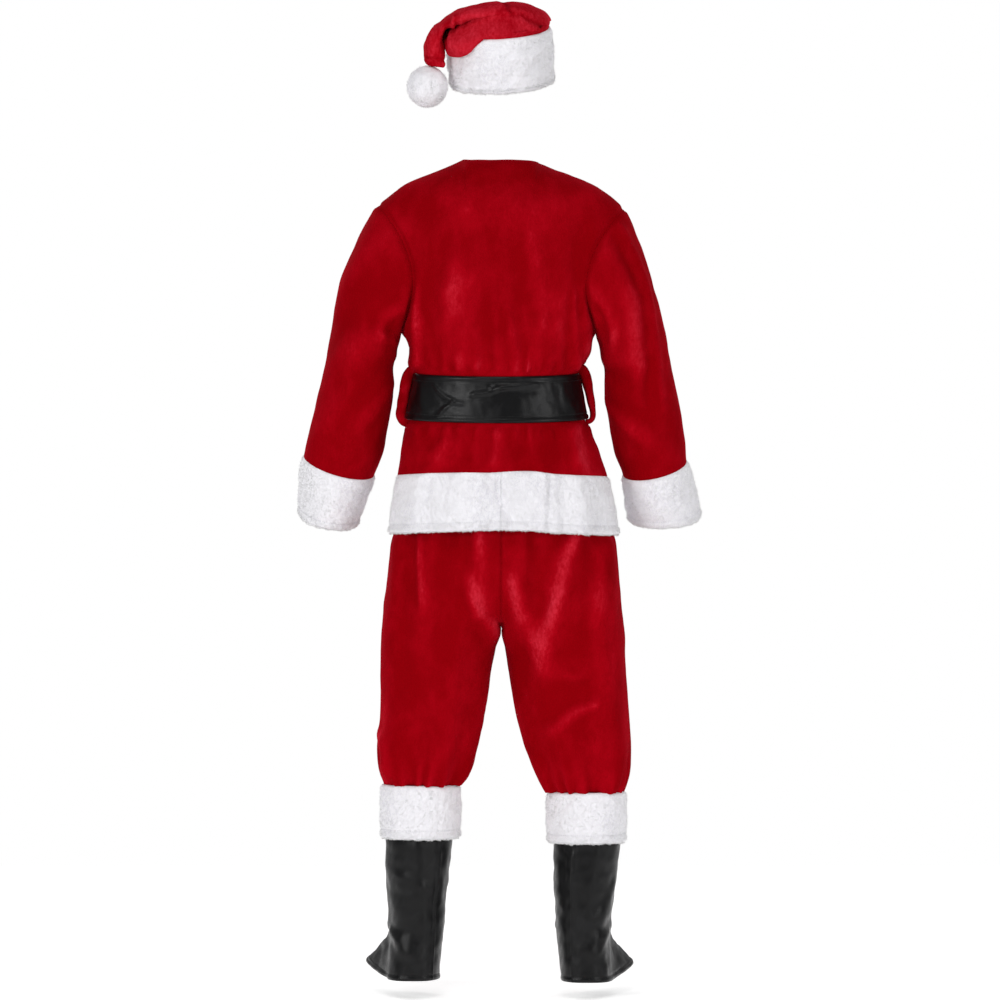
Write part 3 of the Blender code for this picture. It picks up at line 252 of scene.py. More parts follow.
# Creases as straight or bowed lines on a piece: from one place to another, how wide, how high
# (below nothing is a trough) and how far the line bows aside in its middle
CREASE_COLUMNS = ("from_x", "from_y", "to_x", "to_y", "width", "rise", "bow")
BACK_CREASES = (
    (-0.136, 1.300, -0.138, 1.190, 0.007, 0.0050, 0.000),
    (-0.168, 1.330, -0.158, 1.205, 0.010, 0.0060, 0.006),
    (-0.150, 1.400, -0.150, 1.250, 0.020, -0.0030, 0.000),
    (0.160, 1.310, 0.156, 1.190, 0.008, 0.0050, 0.000),
    (0.135, 1.350, 0.142, 1.200, 0.016, -0.0030, 0.004),
    (0.086, 1.350, 0.096, 1.200, 0.018, 0.0030, 0.008),
    (-0.050, 1.400, -0.078, 1.190, 0.020, 0.0035, -0.006),
    (-0.012, 1.270, -0.040, 1.180, 0.009, 0.0035, 0.004),
    (-0.088, 1.260, -0.072, 1.180, 0.009, -0.0030, 0.000),
    (0.035, 1.290, 0.022, 1.185, 0.012, -0.0030, 0.004),
    (0.150, 1.500, 0.030, 1.470, 0.030, 0.0030, 0.010),
    (-0.150, 1.490, -0.030, 1.468, 0.030, 0.0030, -0.010),
    (0.008, 1.062, 0.012, 0.985, 0.010, 0.0030, 0.000),
    (-0.124, 1.062, -0.144, 0.985, 0.010, 0.0055, 0.002),
    (-0.080, 1.060, -0.088, 0.985, 0.014, -0.0030, 0.000),
    (0.100, 1.060, 0.118, 0.985, 0.014, 0.0040, 0.000),
    (0.060, 1.062, 0.066, 0.990, 0.011, -0.0030, 0.000),
)
FRONT_CREASES = (
    (-0.140, 1.330, -0.128, 1.195, 0.012, 0.0050, 0.004),
    (-0.095, 1.300, -0.088, 1.190, 0.014, -0.0030, 0.000),
    (-0.052, 1.280, -0.060, 1.185, 0.010, 0.0035, 0.000),
    (0.048, 1.270, 0.062, 1.185, 0.010, 0.0035, 0.004),
    (0.098, 1.310, 0.086, 1.190, 0.016, -0.0030, 0.000),
    (0.142, 1.330, 0.134, 1.195, 0.012, 0.0050, -0.004),
    (-0.120, 1.460, -0.050, 1.380, 0.026, 0.0030, 0.006),
    (0.120, 1.460, 0.055, 1.370, 0.026, 0.0030, -0.006),
    (-0.100, 1.060, -0.120, 0.985, 0.012, 0.0045, 0.000),
    (-0.055, 1.060, -0.052, 0.985, 0.012, -0.0030, 0.000),
    (0.060, 1.060, 0.070, 0.985, 0.012, 0.0040, 0.000),
    (0.128, 1.060, 0.140, 0.985, 0.014, 0.0040, 0.000),
)

HEM_WAVES = (0.160, 0.100, 0.016, -0.036, -0.096, -0.150)
HEM_FOLDS = (
    (0.130, 0.975, 0.136, 0.864, 0.012, -0.0046, 0.002),
    (0.062, 0.975, 0.058, 0.864, 0.014, -0.0042, 0.000),
    (0.014, 0.962, -0.016, 0.876, 0.005, -0.0042, 0.004),
    (0.026, 0.975, 0.010, 0.864, 0.012, 0.0036, 0.000),
    (-0.050, 0.975, -0.056, 0.864, 0.016, 0.0032, 0.000),
    (-0.090, 0.975, -0.088, 0.864, 0.006, -0.0042, 0.000),
    (-0.140, 0.975, -0.150, 0.864, 0.014, 0.0032, 0.002),
)

# How far the hem's upper seam and its lower edge lie off the level, from the right to the left
HEM_LINE_COLUMNS = ("x", "seam", "edge")
HEM_LINE = (
    (-0.230, -0.0060, 0.0010),
    (-0.190, -0.0050, 0.0010),
    (-0.130, -0.0030, 0.0030),
    (-0.095, -0.0010, 0.0050),
    (-0.060, 0.0035, 0.0080),
    (0.020, 0.0010, 0.0095),
    (0.080, 0.0010, 0.0075),
    (0.130, 0.0000, 0.0060),
    (0.214, -0.0030, 0.0030),
    (0.235, -0.0030, 0.0030),
)
HEM_FADE = 0.070

# Sleeve creases: x is the angle round the sleeve in degrees, where 0 is outside, 90 behind and
# 180 inside, and y is the share of its length from the armhole
SLEEVE_CREASES = {
    "left": (
        (175, 0.45, 110, 0.62, 0.022, -0.0050, 0.004),
        (150, 0.30, 80, 0.52, 0.020, 0.0050, 0.004),
        (95, 0.05, 60, 0.35, 0.024, -0.0040, 0.000),
        (128, 0.06, 120, 0.34, 0.009, 0.0045, 0.004),
        (170, 0.58, 120, 0.74, 0.014, 0.0040, 0.003),
        (265, 0.62, 190, 0.50, 0.020, -0.0050, 0.004),
        (300, 0.20, 250, 0.55, 0.022, 0.0040, 0.004),
        (80, 0.70, 40, 0.88, 0.022, 0.0035, 0.000),
        (250, 0.70, 300, 0.90, 0.018, 0.0035, 0.000),
        (330, 0.10, 320, 0.60, 0.022, -0.0030, 0.006),
    ),
    "right": (
        (40, 0.02, 60, 0.70, 0.010, 0.0055, 0.010),
        (52, 0.04, 74, 0.70, 0.016, -0.0050, 0.010),
        (70, 0.05, 95, 0.60, 0.024, 0.0040, 0.000),
        (110, 0.04, 128, 0.34, 0.010, 0.0045, 0.003),
        (175, 0.48, 120, 0.60, 0.018, -0.0045, 0.003),
        (172, 0.66, 122, 0.80, 0.014, 0.0035, 0.003),
        (265, 0.60, 190, 0.50, 0.020, -0.0050, 0.004),
        (300, 0.15, 262, 0.55, 0.020, 0.0045, 0.006),
        (120, 0.78, 60, 0.92, 0.020, 0.0035, 0.000),
        (330, 0.10, 318, 0.62, 0.022, -0.0030, 0.006),
    ),
}
SEAT_CREASES = (
    (0.150, 0.860, 0.144, 0.735, 0.006, 0.0035, 0.002),
    (0.100, 0.860, 0.108, 0.720, 0.020, -0.0040, 0.004),
    (0.044, 0.860, 0.056, 0.730, 0.014, 0.0040, -0.006),
    (0.056, 0.740, 0.008, 0.684, 0.012, 0.0040, 0.004),
    (-0.026, 0.770, -0.076, 0.640, 0.020, 0.0050, 0.006),
    (-0.138, 0.860, -0.104, 0.735, 0.016, 0.0050, 0.004),
    (-0.104, 0.735, -0.080, 0.640, 0.015, 0.0040, 0.000),
    (-0.062, 0.850, -0.070, 0.740, 0.014, -0.0040, 0.000),
    (-0.188, 0.800, -0.196, 0.560, 0.016, 0.0035, 0.006),
    (-0.170, 0.545, -0.112, 0.505, 0.012, 0.0045, 0.006),
    (-0.150, 0.580, -0.120, 0.570, 0.014, -0.0040, 0.000),
    (0.180, 0.780, 0.190, 0.560, 0.018, -0.0035, -0.006),
    (0.232, 0.505, 0.216, 0.430, 0.007, 0.0055, -0.004),
    (0.080, 0.660, 0.098, 0.480, 0.020, 0.0030, 0.004),
)
LEG_FRONT_CREASES = (
    (0.120, 0.860, 0.112, 0.700, 0.014, 0.0045, 0.004),
    (0.060, 0.840, 0.020, 0.700, 0.014, -0.0045, 0.004),
    (-0.070, 0.850, -0.024, 0.700, 0.014, -0.0045, -0.004),
    (-0.128, 0.860, -0.118, 0.690, 0.014, 0.0045, -0.004),
    (0.160, 0.640, 0.110, 0.560, 0.016, 0.0040, 0.006),
    (0.180, 0.560, 0.120, 0.510, 0.014, -0.0035, 0.004),
    (-0.180, 0.650, -0.120, 0.575, 0.016, 0.0040, -0.006),
    (-0.190, 0.560, -0.130, 0.500, 0.014, -0.0035, 0.004),
    (0.200, 0.740, 0.208, 0.560, 0.018, 0.0035, 0.004),
    (-0.204, 0.740, -0.214, 0.560, 0.018, 0.0035, -0.004),
)

# Painted sheen: lines as above, with a share as rise, along which the plush's colour is lifted to a lighter
# red to paint the highlights of its nap
BACK_PAINTED_SHEEN = (
    (0.142, 1.240, 0.130, 1.190, 0.012, 0.30, 0.000),
    (0.088, 1.330, 0.070, 1.250, 0.018, 0.24, 0.004),
    (-0.062, 1.360, -0.058, 1.300, 0.014, 0.30, 0.000),
    (-0.060, 1.440, -0.070, 1.390, 0.020, 0.18, 0.000),
    (-0.016, 1.240, -0.030, 1.175, 0.010, 0.36, 0.000),
    (-0.045, 1.255, -0.078, 1.175, 0.012, 0.36, 0.004),
    (-0.135, 1.300, -0.134, 1.190, 0.006, 0.42, 0.000),
    (-0.168, 1.320, -0.156, 1.205, 0.008, 0.42, 0.005),
    (0.156, 1.320, 0.152, 1.180, 0.006, 0.42, 0.000),
    (0.100, 1.200, 0.020, 1.176, 0.010, 0.24, 0.000),
    (-0.140, 1.060, -0.160, 0.990, 0.010, 0.36, 0.000),
    (0.020, 1.052, 0.012, 0.990, 0.009, 0.18, 0.000),
)
SEAT_PAINTED_SHEEN = (
    (0.040, 0.860, 0.054, 0.775, 0.015, 0.44, -0.003),
    (0.054, 0.775, 0.014, 0.698, 0.014, 0.50, 0.004),
    (0.150, 0.860, 0.145, 0.740, 0.003, 0.33, 0.000),
    (-0.024, 0.755, -0.060, 0.690, 0.018, 0.50, 0.000),
    (-0.052, 0.700, -0.082, 0.640, 0.014, 0.33, 0.000),
    (-0.140, 0.860, -0.106, 0.740, 0.013, 0.55, 0.004),
    (-0.106, 0.740, -0.080, 0.640, 0.012, 0.39, 0.000),
    (-0.168, 0.543, -0.110, 0.508, 0.010, 0.50, 0.006),
    (-0.200, 0.700, -0.210, 0.560, 0.010, 0.28, 0.000),
    (0.060, 0.620, 0.080, 0.480, 0.018, 0.22, 0.000),
    (0.205, 0.600, 0.222, 0.500, 0.012, 0.28, 0.000),
)


def length_property(name, description, default, least):
    """A length in metres that the panel shows."""
    return FloatProperty(name=name, description=description, default=default, min=least, unit="LENGTH")


class SuitSizes(PropertyGroup):
    hold_height: FloatProperty(
        name="Hold height", description="Height of the shoulders above the ground",
        default=1.550, min=1.0, max=2.0, unit="LENGTH",
    )
    plush_wall: length_property("Plush", "Thickness of the red plush", 0.003, 0.001)
    fur_wall: length_property("Fur", "Thickness of the white fur trim", 0.0065, 0.002)
    vinyl_wall: length_property("Vinyl", "Thickness of the boot covers", 0.002, 0.001)
    pile_length: length_property("Pile", "Length of the fur's tufts", 0.0042, 0.001)
    pompom_pile: length_property("Pompom pile", "Length of the pompom's tufts", 0.0042, 0.001)
    stitch_pitch: length_property("Stitch", "Distance from one stitch to the next", 0.0042, 0.002)
    crease_depth: FloatProperty(
        name="Creases", description="Factor on the height of every crease", default=1.4, min=0.0, max=2.0,
    )


def colour_property(name, description, default):
    """A colour that the panel shows."""
    return FloatVectorProperty(
        name=name, description=description, default=default, subtype="COLOR", min=0.0, max=1.0
    )


class SuitColours(PropertyGroup):
    plush_deep: colour_property("Deep red", "Plush seen into its nap", (0.245, 0.0, 0.0026))
    # Lighter red of brushed nap patches, and of the painted highlights along creases and sheen lines
    plush_brushed_and_painted_sheen: colour_property("Brushed red", "Plush seen along its nap", (0.57, 0.003, 0.014))
    # Painted highlight: the red where the plush's colour is lifted most, along sheen lines and raised
    # creases
    plush_painted_highlight: colour_property("Pale red", "Plush whose nap stands against the light", (0.70, 0.045, 0.080))
    fur_white: colour_property("White fur", "Tips of the white fur", (0.87, 0.86, 0.895))
    # Painted shade in the fur's partings, and the random tone of its fibres
    fur_tone_and_painted_shade: colour_property("Fur shade", "Depths of the white fur", (0.73, 0.715, 0.775))
    vinyl: colour_property("Vinyl", "Black vinyl cloth", (0.0030, 0.0030, 0.0034))
    brass: colour_property("Brass", "Buckle metal", (0.62, 0.42, 0.14))
    floor: colour_property("Floor", "Pale floor", (0.92, 0.92, 0.92))


def sizes():
    return bpy.context.scene.suit_sizes


def colours():
    return bpy.context.scene.suit_colours


# Numbers and curves

def columns(names, rows):
    """Turn a table into one array for each named column."""
    return dict(zip(names, np.array(rows, float).T))


def smooth_curve(known, values, wanted):
    """Cubic curve through the rows of a table, whose slopes are the mean of those on both sides."""
    slopes = np.gradient(values, known, axis=0)
    index = np.clip(np.searchsorted(known, wanted) - 1, 0, len(known) - 2)
    shape = (-1,) + (1,) * (values.ndim - 1)
    span = (known[index + 1] - known[index]).reshape(shape)
    part = (wanted - known[index]).reshape(shape) / span
    rise = values[index + 1] - values[index]
    start, end = slopes[index] * span, slopes[index + 1] * span
    cubic = start + end - 2 * rise
    square = 3 * rise - 2 * start - end
    return values[index] + part * (start + part * (square + part * cubic))


def soft_read(known, values, wanted, spread):
    """Straight lines through a table's rows with their corners rounded over twice the spread."""
    order = np.argsort(known)
    shifts = np.linspace(-spread, spread, 7)
    low, high = known.min(), known.max()
    reads = [np.interp(np.clip(wanted + shift, low, high), known[order], values[order]) for shift in shifts]
    near_end = np.clip(np.minimum(wanted - low, high - wanted) / (2 * spread), 0, 1)
    plain = np.interp(wanted, known[order], values[order])
    return plain + (np.mean(reads, axis=0) - plain) * near_end


def unit(vectors):
    return vectors / np.maximum(np.linalg.norm(vectors, axis=-1, keepdims=True), 1e-12)


def outward(grid, closed):
    """Unit directions square to a grid of points, away from its middle: the cross product of the
    differences along its columns and along its rows."""
    if closed:
        padded = np.concatenate([grid[:, -1:], grid, grid[:, :1]], axis=1)
        round_it = np.gradient(padded, axis=1)[:, 1:-1]
    else:
        round_it = np.gradient(grid, axis=1)
    found = unit(np.cross(round_it, np.gradient(grid, axis=0)))
    middle = grid.mean(axis=1, keepdims=True)
    return found if np.sum(found * (grid - middle)) > 0 else -found


def ripple(points, size, seed):
    """Smooth unevenness from -1 to 1: a sum of sines along fixed directions, about size apart."""
    chance = np.random.default_rng(seed)
    ways = unit(chance.normal(size=(WAVES, 3))) * chance.uniform(0.6, 1.5, (WAVES, 1)) * TAU / size
    total = np.sin(points @ ways.T + chance.uniform(0, TAU, WAVES)).sum(axis=-1)
    return np.tanh(total * 2 / WAVES**0.5 * 0.5)


def creases(x, y, rows):
    """Sum of soft ridges: rise * exp(-(distance aside / width)^2), which fades past both ends. Each
    widens towards its end and falls into a shallow trough on one side."""
    total = np.zeros(np.broadcast(x, y).shape)
    for row in rows:
        at = dict(zip(CREASE_COLUMNS, row))
        run_x, run_y = at["to_x"] - at["from_x"], at["to_y"] - at["from_y"]
        length = math.hypot(run_x, run_y)
        run_x, run_y = run_x / length, run_y / length
        along = (x - at["from_x"]) * run_x + (y - at["from_y"]) * run_y
        share = np.clip(along / length, 0, 1)
        aside = (y - at["from_y"]) * run_x - (x - at["from_x"]) * run_y
        aside = aside - 4 * at["bow"] * share * (1 - share)
        past = np.maximum(np.maximum(-along, along - length), 0)
        width = at["width"] * (0.75 + 0.5 * share)
        ridge = np.exp(-((aside / width) ** 2)) - 0.35 * np.exp(-((aside / width - 2) ** 2))
        total = total + at["rise"] * ridge * np.exp(-((past / (2.2 * width)) ** 2))
    return total


def edge_fade(grid, reach, first_row=True, last_row=True, columns_too=True):
    """0 on the edges of a panel and 1 inside it: 1 - exp(-(distance from the edge / reach)^2)."""
    down = np.linalg.norm(np.diff(grid, axis=0), axis=2).cumsum(axis=0)
    down = np.concatenate([np.zeros((1, grid.shape[1])), down])
    across = np.linalg.norm(np.diff(grid, axis=1), axis=2).cumsum(axis=1)
    across = np.concatenate([np.zeros((grid.shape[0], 1)), across], axis=1)
    gaps = [down] * first_row + [down[-1:] - down] * last_row
    if columns_too:
        gaps += [across, across[:, -1:] - across]
    fade = np.ones(grid.shape[:2])
    for gap in gaps:
        fade = fade * (1 - np.exp(-((gap / reach) ** 2)))
    return fade


# Meshes

def grid_faces(rows, count, closed, wrap_rows=False):
    """Quads of a grid of points that may close on itself across, and along too."""
    row = np.arange(rows if wrap_rows else rows - 1)[:, None]
    column = np.arange(count if closed else count - 1)[None, :]
    below, beside = (row + 1) % rows, (column + 1) % count
    corners = [row * count + column, row * count + beside, below * count + beside, below * count + column]
    return np.stack([np.broadcast_to(c, (row.size, column.size)) for c in corners], axis=-1).reshape(-1, 4)


def volume_of(points, groups):
    total = 0.0
    for faces in groups:
        for step in range(1, faces.shape[1] - 1):
            a, b, c = points[faces[:, 0]], points[faces[:, step]], points[faces[:, step + 1]]
            total += np.einsum("ij,ij->", a, np.cross(b, c))
    return total


def add_piece(name, points, groups, finish, replaced=(), nap=None):
    """Make a smooth mesh from points above the ground and groups of faces, turned outwards if its
    volume, the sum of a . (b x c) over its triangles, is below nothing."""
    points = np.array(points, float)
    points[:, 2] -= sizes().hold_height
    if volume_of(points, groups) < 0:
        groups = [faces[:, ::-1] for faces in groups]
    mesh = bpy.data.meshes.new(name)
    corners = np.concatenate([faces.ravel() for faces in groups]).astype(np.int32)
    sides = np.concatenate([np.full(len(faces), faces.shape[1]) for faces in groups]).astype(np.int32)
    mesh.vertices.add(len(points))
    mesh.vertices.foreach_set("co", points.ravel())
    mesh.loops.add(len(corners))
    mesh.loops.foreach_set("vertex_index", corners)
    mesh.polygons.add(len(sides))
    mesh.polygons.foreach_set("loop_start", np.concatenate([[0], sides.cumsum()[:-1]]).astype(np.int32))
    mesh.polygons.foreach_set("loop_total", sides)
    mesh.update(calc_edges=True)
    mesh.shade_smooth()
    if nap is not None:
        mesh.attributes.new("nap", "FLOAT", "POINT").data.foreach_set("value", nap.astype(np.float32))
    mesh.materials.append(finish)
    piece = bpy.data.objects.new(name, mesh)
    bpy.context.scene.collection.objects.link(piece)
    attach(piece, "root")
    if replaced:
        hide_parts(*replaced)
    return piece


def rim(outer, inner, beside):
    """A line that rounds an edge: halfway between both skins, a third of the wall further out."""
    wall = np.linalg.norm(outer - inner, axis=-1, keepdims=True)
    return (outer + inner) / 2 + unit(outer - beside) * wall / 3


def wall_of(outer, inner, closed):
    """Points and faces of a wall: its outer rows, a rounded edge, its inner rows back again and the
    other rounded edge make one closed loop, carried across all its columns."""
    low = rim(outer[-1], inner[-1], outer[-2])[None]
    high = rim(outer[0], inner[0], outer[1])[None]
    loop = np.concatenate([outer, low, inner[::-1], high])
    rows, count = loop.shape[:2]
    groups = [grid_faces(rows, count, closed, True)]
    if not closed:
        depth = len(outer)
        front = np.arange(depth - 1)
        back = rows - 2 - front
        for column, turn in ((0, 1), (count - 1, -1)):
            strip = np.stack([front, front + 1, back - 1, back], axis=1) * count + column
            ends = np.array([[depth - 1, depth, depth + 1], [rows - 1, 0, rows - 2]]) * count + column
            groups += [strip[:, ::turn], ends[:, ::turn]]
    return loop.reshape(-1, 3), groups


def wall_nap(nap, closed_rows=1):
    """The nap of a wall's points, with any painted highlights and shade it carries on the outer skin, and
    plain on the inner skin and the rounded edges.
    """
    edge = np.full((closed_rows, nap.shape[1]), 0.3)
    return np.concatenate([nap, edge, nap[::-1] * 0 + 0.2, edge]).ravel()


TUFT_ROOT_DEPTH, TUFT_REACH = 0.0008, (0.6, 1.15)
LEAN_SPREAD, TIP_SPREAD = 0.35, 0.55


def tufts(roots, normals, length, lean, seed, width=0.0008):
    """Closed three-sided spikes: each stands on its root along its normal, leant over by a random
    amount, and its tip lies its length away."""
    chance = np.random.default_rng(seed)
    count = len(roots)
    side = unit(np.cross(normals, unit(chance.normal(size=(count, 3)))))
    other = np.cross(normals, side)
    leant = lean * (1 + LEAN_SPREAD * chance.normal(size=(count, 1)))
    tip_way = unit(normals + leant + TIP_SPREAD * chance.normal(size=(count, 3)))
    reach = length * chance.uniform(*TUFT_REACH, (count, 1))
    turns = np.array([0, TAU / 3, 2 * TAU / 3])[:, None, None]
    base = roots - normals * TUFT_ROOT_DEPTH + width * (side * np.cos(turns) + other * np.sin(turns))
    points = np.concatenate([base.transpose(1, 0, 2), (roots + tip_way * reach)[:, None]], axis=1)
    start = np.arange(count)[:, None] * 4
    faces = start[:, :, None] + np.array([[0, 2, 1], [0, 1, 3], [1, 2, 3], [2, 0, 3]])[None]
    return points.reshape(-1, 3), faces.reshape(-1, 3)


def scattered(outer, normals, closed, count, seed, low=0.0, high=1.0):
    """Random places on a grid between two shares of its rows, each a weighted mean of the four
    corners round it, picked as often as its cell is large."""
    chance = np.random.default_rng(seed)
    rows = len(outer)
    if closed:
        outer = np.concatenate([outer, outer[:, :1]], axis=1)
        normals = np.concatenate([normals, normals[:, :1]], axis=1)
    down = outer[1:, :-1] - outer[:-1, :-1]
    beside = outer[:-1, 1:] - outer[:-1, :-1]
    area = np.linalg.norm(np.cross(down, beside), axis=2)
    share = (np.arange(rows - 1) + 0.5) / (rows - 1)
    area[(share < low) | (share > high)] = 0
    picked = np.searchsorted(area.ravel().cumsum() / area.sum(), chance.random(count))
    row, column = np.divmod(picked, area.shape[1])
    u, v = chance.random((2, count, 1))

    def between(grid):
        near = grid[row, column] * (1 - v) + grid[row, column + 1] * v
        far = grid[row + 1, column] * (1 - v) + grid[row + 1, column + 1] * v
        return near * (1 - u) + far * u

    return between(outer), unit(between(normals))


def stitches(line, normals, pitch, seed):
    """Closed flat diamonds along a line, each three fifths of the pitch long, sunk at both ends."""
    steps = np.linalg.norm(np.diff(line, axis=0), axis=1).cumsum()
    steps = np.concatenate([[0], steps])
    count = max(int(steps[-1] / pitch), 2)
    at = (np.arange(count) + 0.5) * steps[-1] / count
    chance = np.random.default_rng(seed)
    place = np.stack([np.interp(at, steps, line[:, i]) for i in range(3)], axis=1)
    up = unit(np.stack([np.interp(at, steps, normals[:, i]) for i in range(3)], axis=1))
    ahead = np.stack([np.interp(at + 0.001, steps, line[:, i]) for i in range(3)], axis=1)
    behind = np.stack([np.interp(at - 0.001, steps, line[:, i]) for i in range(3)], axis=1)
    along = unit(ahead - behind + chance.normal(size=place.shape) * 0.00006)
    aside = np.cross(up, along)
    half, thick = pitch * 0.32, 0.0005
    corners = [-along * half - up * thick * 0.5, aside * thick, up * thick, -aside * thick]
    corners += [along * half - up * thick * 0.5, -up * thick]
    points = (place[:, None] + np.stack(corners, axis=1)).reshape(-1, 3)
    near_end = [[0, 1, 2], [0, 2, 3], [0, 3, 5], [0, 5, 1]]
    shape = np.array(near_end + [[4, 2, 1], [4, 3, 2], [4, 5, 3], [4, 1, 5]])
    faces = np.arange(count)[:, None, None] * 6 + shape[None]
    return points, faces.reshape(-1, 3)


def tube_faces(rows, count):
    """The sides of a closed tube on a grid, then its first and its last cap."""
    turns = np.arange(count)[None]
    return [grid_faces(rows, count, True), turns[:, ::-1], (rows - 1) * count + turns]


def joined(parts):
    """Several (points, faces) made one."""
    shifts = np.cumsum([0] + [len(points) for points, _ in parts[:-1]])
    return np.concatenate([p for p, _ in parts]), np.concatenate([f + s for (_, f), s in zip(parts, shifts)])


# Materials

def make_group(name, inputs, outputs):
    """An empty shader group with named sockets, and its input and output nodes."""
    group = bpy.data.node_groups.new(name, "ShaderNodeTree")
    for label, kind, value in inputs:
        made = group.interface.new_socket(label, in_out="INPUT", socket_type=kind)
        if value is not None:
            made.default_value = value
    for label, kind in outputs:
        group.interface.new_socket(label, in_out="OUTPUT", socket_type=kind)
    return group, group.nodes.new("NodeGroupInput"), group.nodes.new("NodeGroupOutput")


def noise(tree, vector, scale, detail=2.0, stretch=(1, 1, 1), twist=0.0):
    """Noise in cycles a metre on stretched coordinates."""
    place = tree.nodes.new("ShaderNodeMapping")
    place.inputs["Scale"].default_value = stretch
    tree.links.new(vector, place.inputs["Vector"])
    made = tree.nodes.new("ShaderNodeTexNoise")
    made.inputs["Scale"].default_value = scale
    made.inputs["Detail"].default_value = detail
    made.inputs["Distortion"].default_value = twist
    tree.links.new(place.outputs["Vector"], made.inputs["Vector"])
    return made.outputs["Fac"]


def spread(tree, value, low, high, to_low=0.0, to_high=1.0):
    """Move a value from one range to another, smoothly and held at its ends."""
    made = tree.nodes.new("ShaderNodeMapRange")
    made.interpolation_type = "SMOOTHSTEP"
    for label, number in (("From Min", low), ("From Max", high), ("To Min", to_low), ("To Max", to_high)):
        made.inputs[label].default_value = number
    tree.links.new(value, made.inputs["Value"])
    return made.outputs["Result"]


def sums(tree, kind, first, second):
    made = tree.nodes.new("ShaderNodeMath")
    made.operation = kind
    for socket, value in zip(made.inputs, (first, second)):
        if isinstance(value, (int, float)):
            socket.default_value = value
        else:
            tree.links.new(value, socket)
    return made.outputs["Value"]


def mixed(tree, factor, first, second, kind="MIX"):
    made = tree.nodes.new("ShaderNodeMix")
    made.data_type, made.blend_type = "RGBA", kind
    colour_sockets = [s for s in made.inputs if s.type == "RGBA"]
    for socket, value in zip([made.inputs[0], *colour_sockets], (factor, first, second)):
        if isinstance(value, (int, float)):
            socket.default_value = value
        elif isinstance(value, (tuple, list)):
            socket.default_value = tuple(value)
        else:
            tree.links.new(value, socket)
    return next(s for s in made.outputs if s.type == "RGBA")


COLOUR_AND_HEIGHT = [("Color", "NodeSocketColor"), ("Height", "NodeSocketFloat")]


def nap_group():
    """Plush: random patches of nap lie this way or that, over a fine grain of fibres, and the Nap input
    lifts the colour to paint highlights and shade, towards the pale red where it is strongest.
    """
    inputs = [
        ("Vector", "NodeSocketVector", None),
        ("Nap", "NodeSocketFloat", 0.0),
        ("Deep", "NodeSocketColor", (*colours().plush_deep, 1.0)),
        ("Brushed", "NodeSocketColor", (*colours().plush_brushed_and_painted_sheen, 1.0)),
        ("Pale", "NodeSocketColor", (*colours().plush_painted_highlight, 1.0)),
    ]
    group, start, end = make_group("Nap", inputs, COLOUR_AND_HEIGHT)
    place = start.outputs["Vector"]
    patches = spread(group, noise(group, place, 9, 4, (1, 1, 0.6), 0.5), 0.36, 0.78, -0.06, 0.20)
    mottle = spread(group, noise(group, place, 45, 3, (1, 1, 0.6), 0.4), 0.30, 0.75, -0.05, 0.07)
    fibres = noise(group, place, 620, 2)
    fine = noise(group, place, 210, 3, (1, 1, 0.5))
    # The Nap input carries painted highlights and painted shade, broken up by a fine noise
    sheen = sums(group, "MULTIPLY", start.outputs["Nap"], spread(group, fine, 0.25, 0.75, 0.72, 1.10))
    lift = sums(group, "ADD", sums(group, "ADD", patches, mottle), sheen)
    lift = sums(group, "ADD", lift, spread(group, fibres, 0.3, 0.7, -0.05, 0.05))
    held = group.nodes.new("ShaderNodeClamp")
    group.links.new(lift, held.inputs["Value"])
    colour = mixed(group, held.outputs["Result"], start.outputs["Deep"], start.outputs["Brushed"])
    # Painted highlight: the strongest lift goes on towards the pale red
    painted_highlight_share = spread(group, held.outputs["Result"], 0.28, 1.0, 0.0, 0.55)
    colour = mixed(group, painted_highlight_share, colour, start.outputs["Pale"])
    group.links.new(colour, end.inputs["Color"])
    relief = sums(group, "ADD", sums(group, "MULTIPLY", fibres, 0.5), sums(group, "MULTIPLY", fine, 1.0))
    group.links.new(relief, end.inputs["Height"])
    return group


def pile_group():
    """White fur: small curls of pile a few millimetres across, with wandering partings darkened towards the
    shade colour as painted shade, over a random tone of fibres.
    """
    inputs = [
        ("Vector", "NodeSocketVector", None),
        ("Shade", "NodeSocketColor", (*colours().fur_tone_and_painted_shade, 1.0)),
        ("White", "NodeSocketColor", (*colours().fur_white, 1.0)),
    ]
    group, start, end = make_group("Pile", inputs, COLOUR_AND_HEIGHT)
    place = start.outputs["Vector"]
    clumps = noise(group, place, 150, 3, (1, 1, 0.7), 1.0)
    partings = spread(group, sums(group, "ABSOLUTE", sums(group, "SUBTRACT", clumps, 0.5), 0.0), 0.0, 0.08)
    fibres = noise(group, place, 520, 3, (1, 1, 0.4), 0.4)
    curly = spread(group, noise(group, place, 12, 2, (1, 1, 0.5)), 0.40, 0.62, 0.10, 0.42)
    lift = sums(group, "ADD", sums(group, "MULTIPLY", fibres, 0.3), 0.45)
    # Painted shade: the partings, where the curls part, are darkened towards the shade colour
    painted_parting_shade = sums(group, "MULTIPLY", sums(group, "SUBTRACT", 1.0, partings), curly)
    lift = sums(group, "SUBTRACT", lift, painted_parting_shade)
    colour = mixed(group, spread(group, lift, 0.0, 0.62), start.outputs["Shade"], start.outputs["White"])
    group.links.new(colour, end.inputs["Color"])
    relief = sums(group, "ADD", sums(group, "MULTIPLY", partings, 0.7), sums(group, "MULTIPLY", fibres, 0.5))
    group.links.new(relief, end.inputs["Height"])
    return group


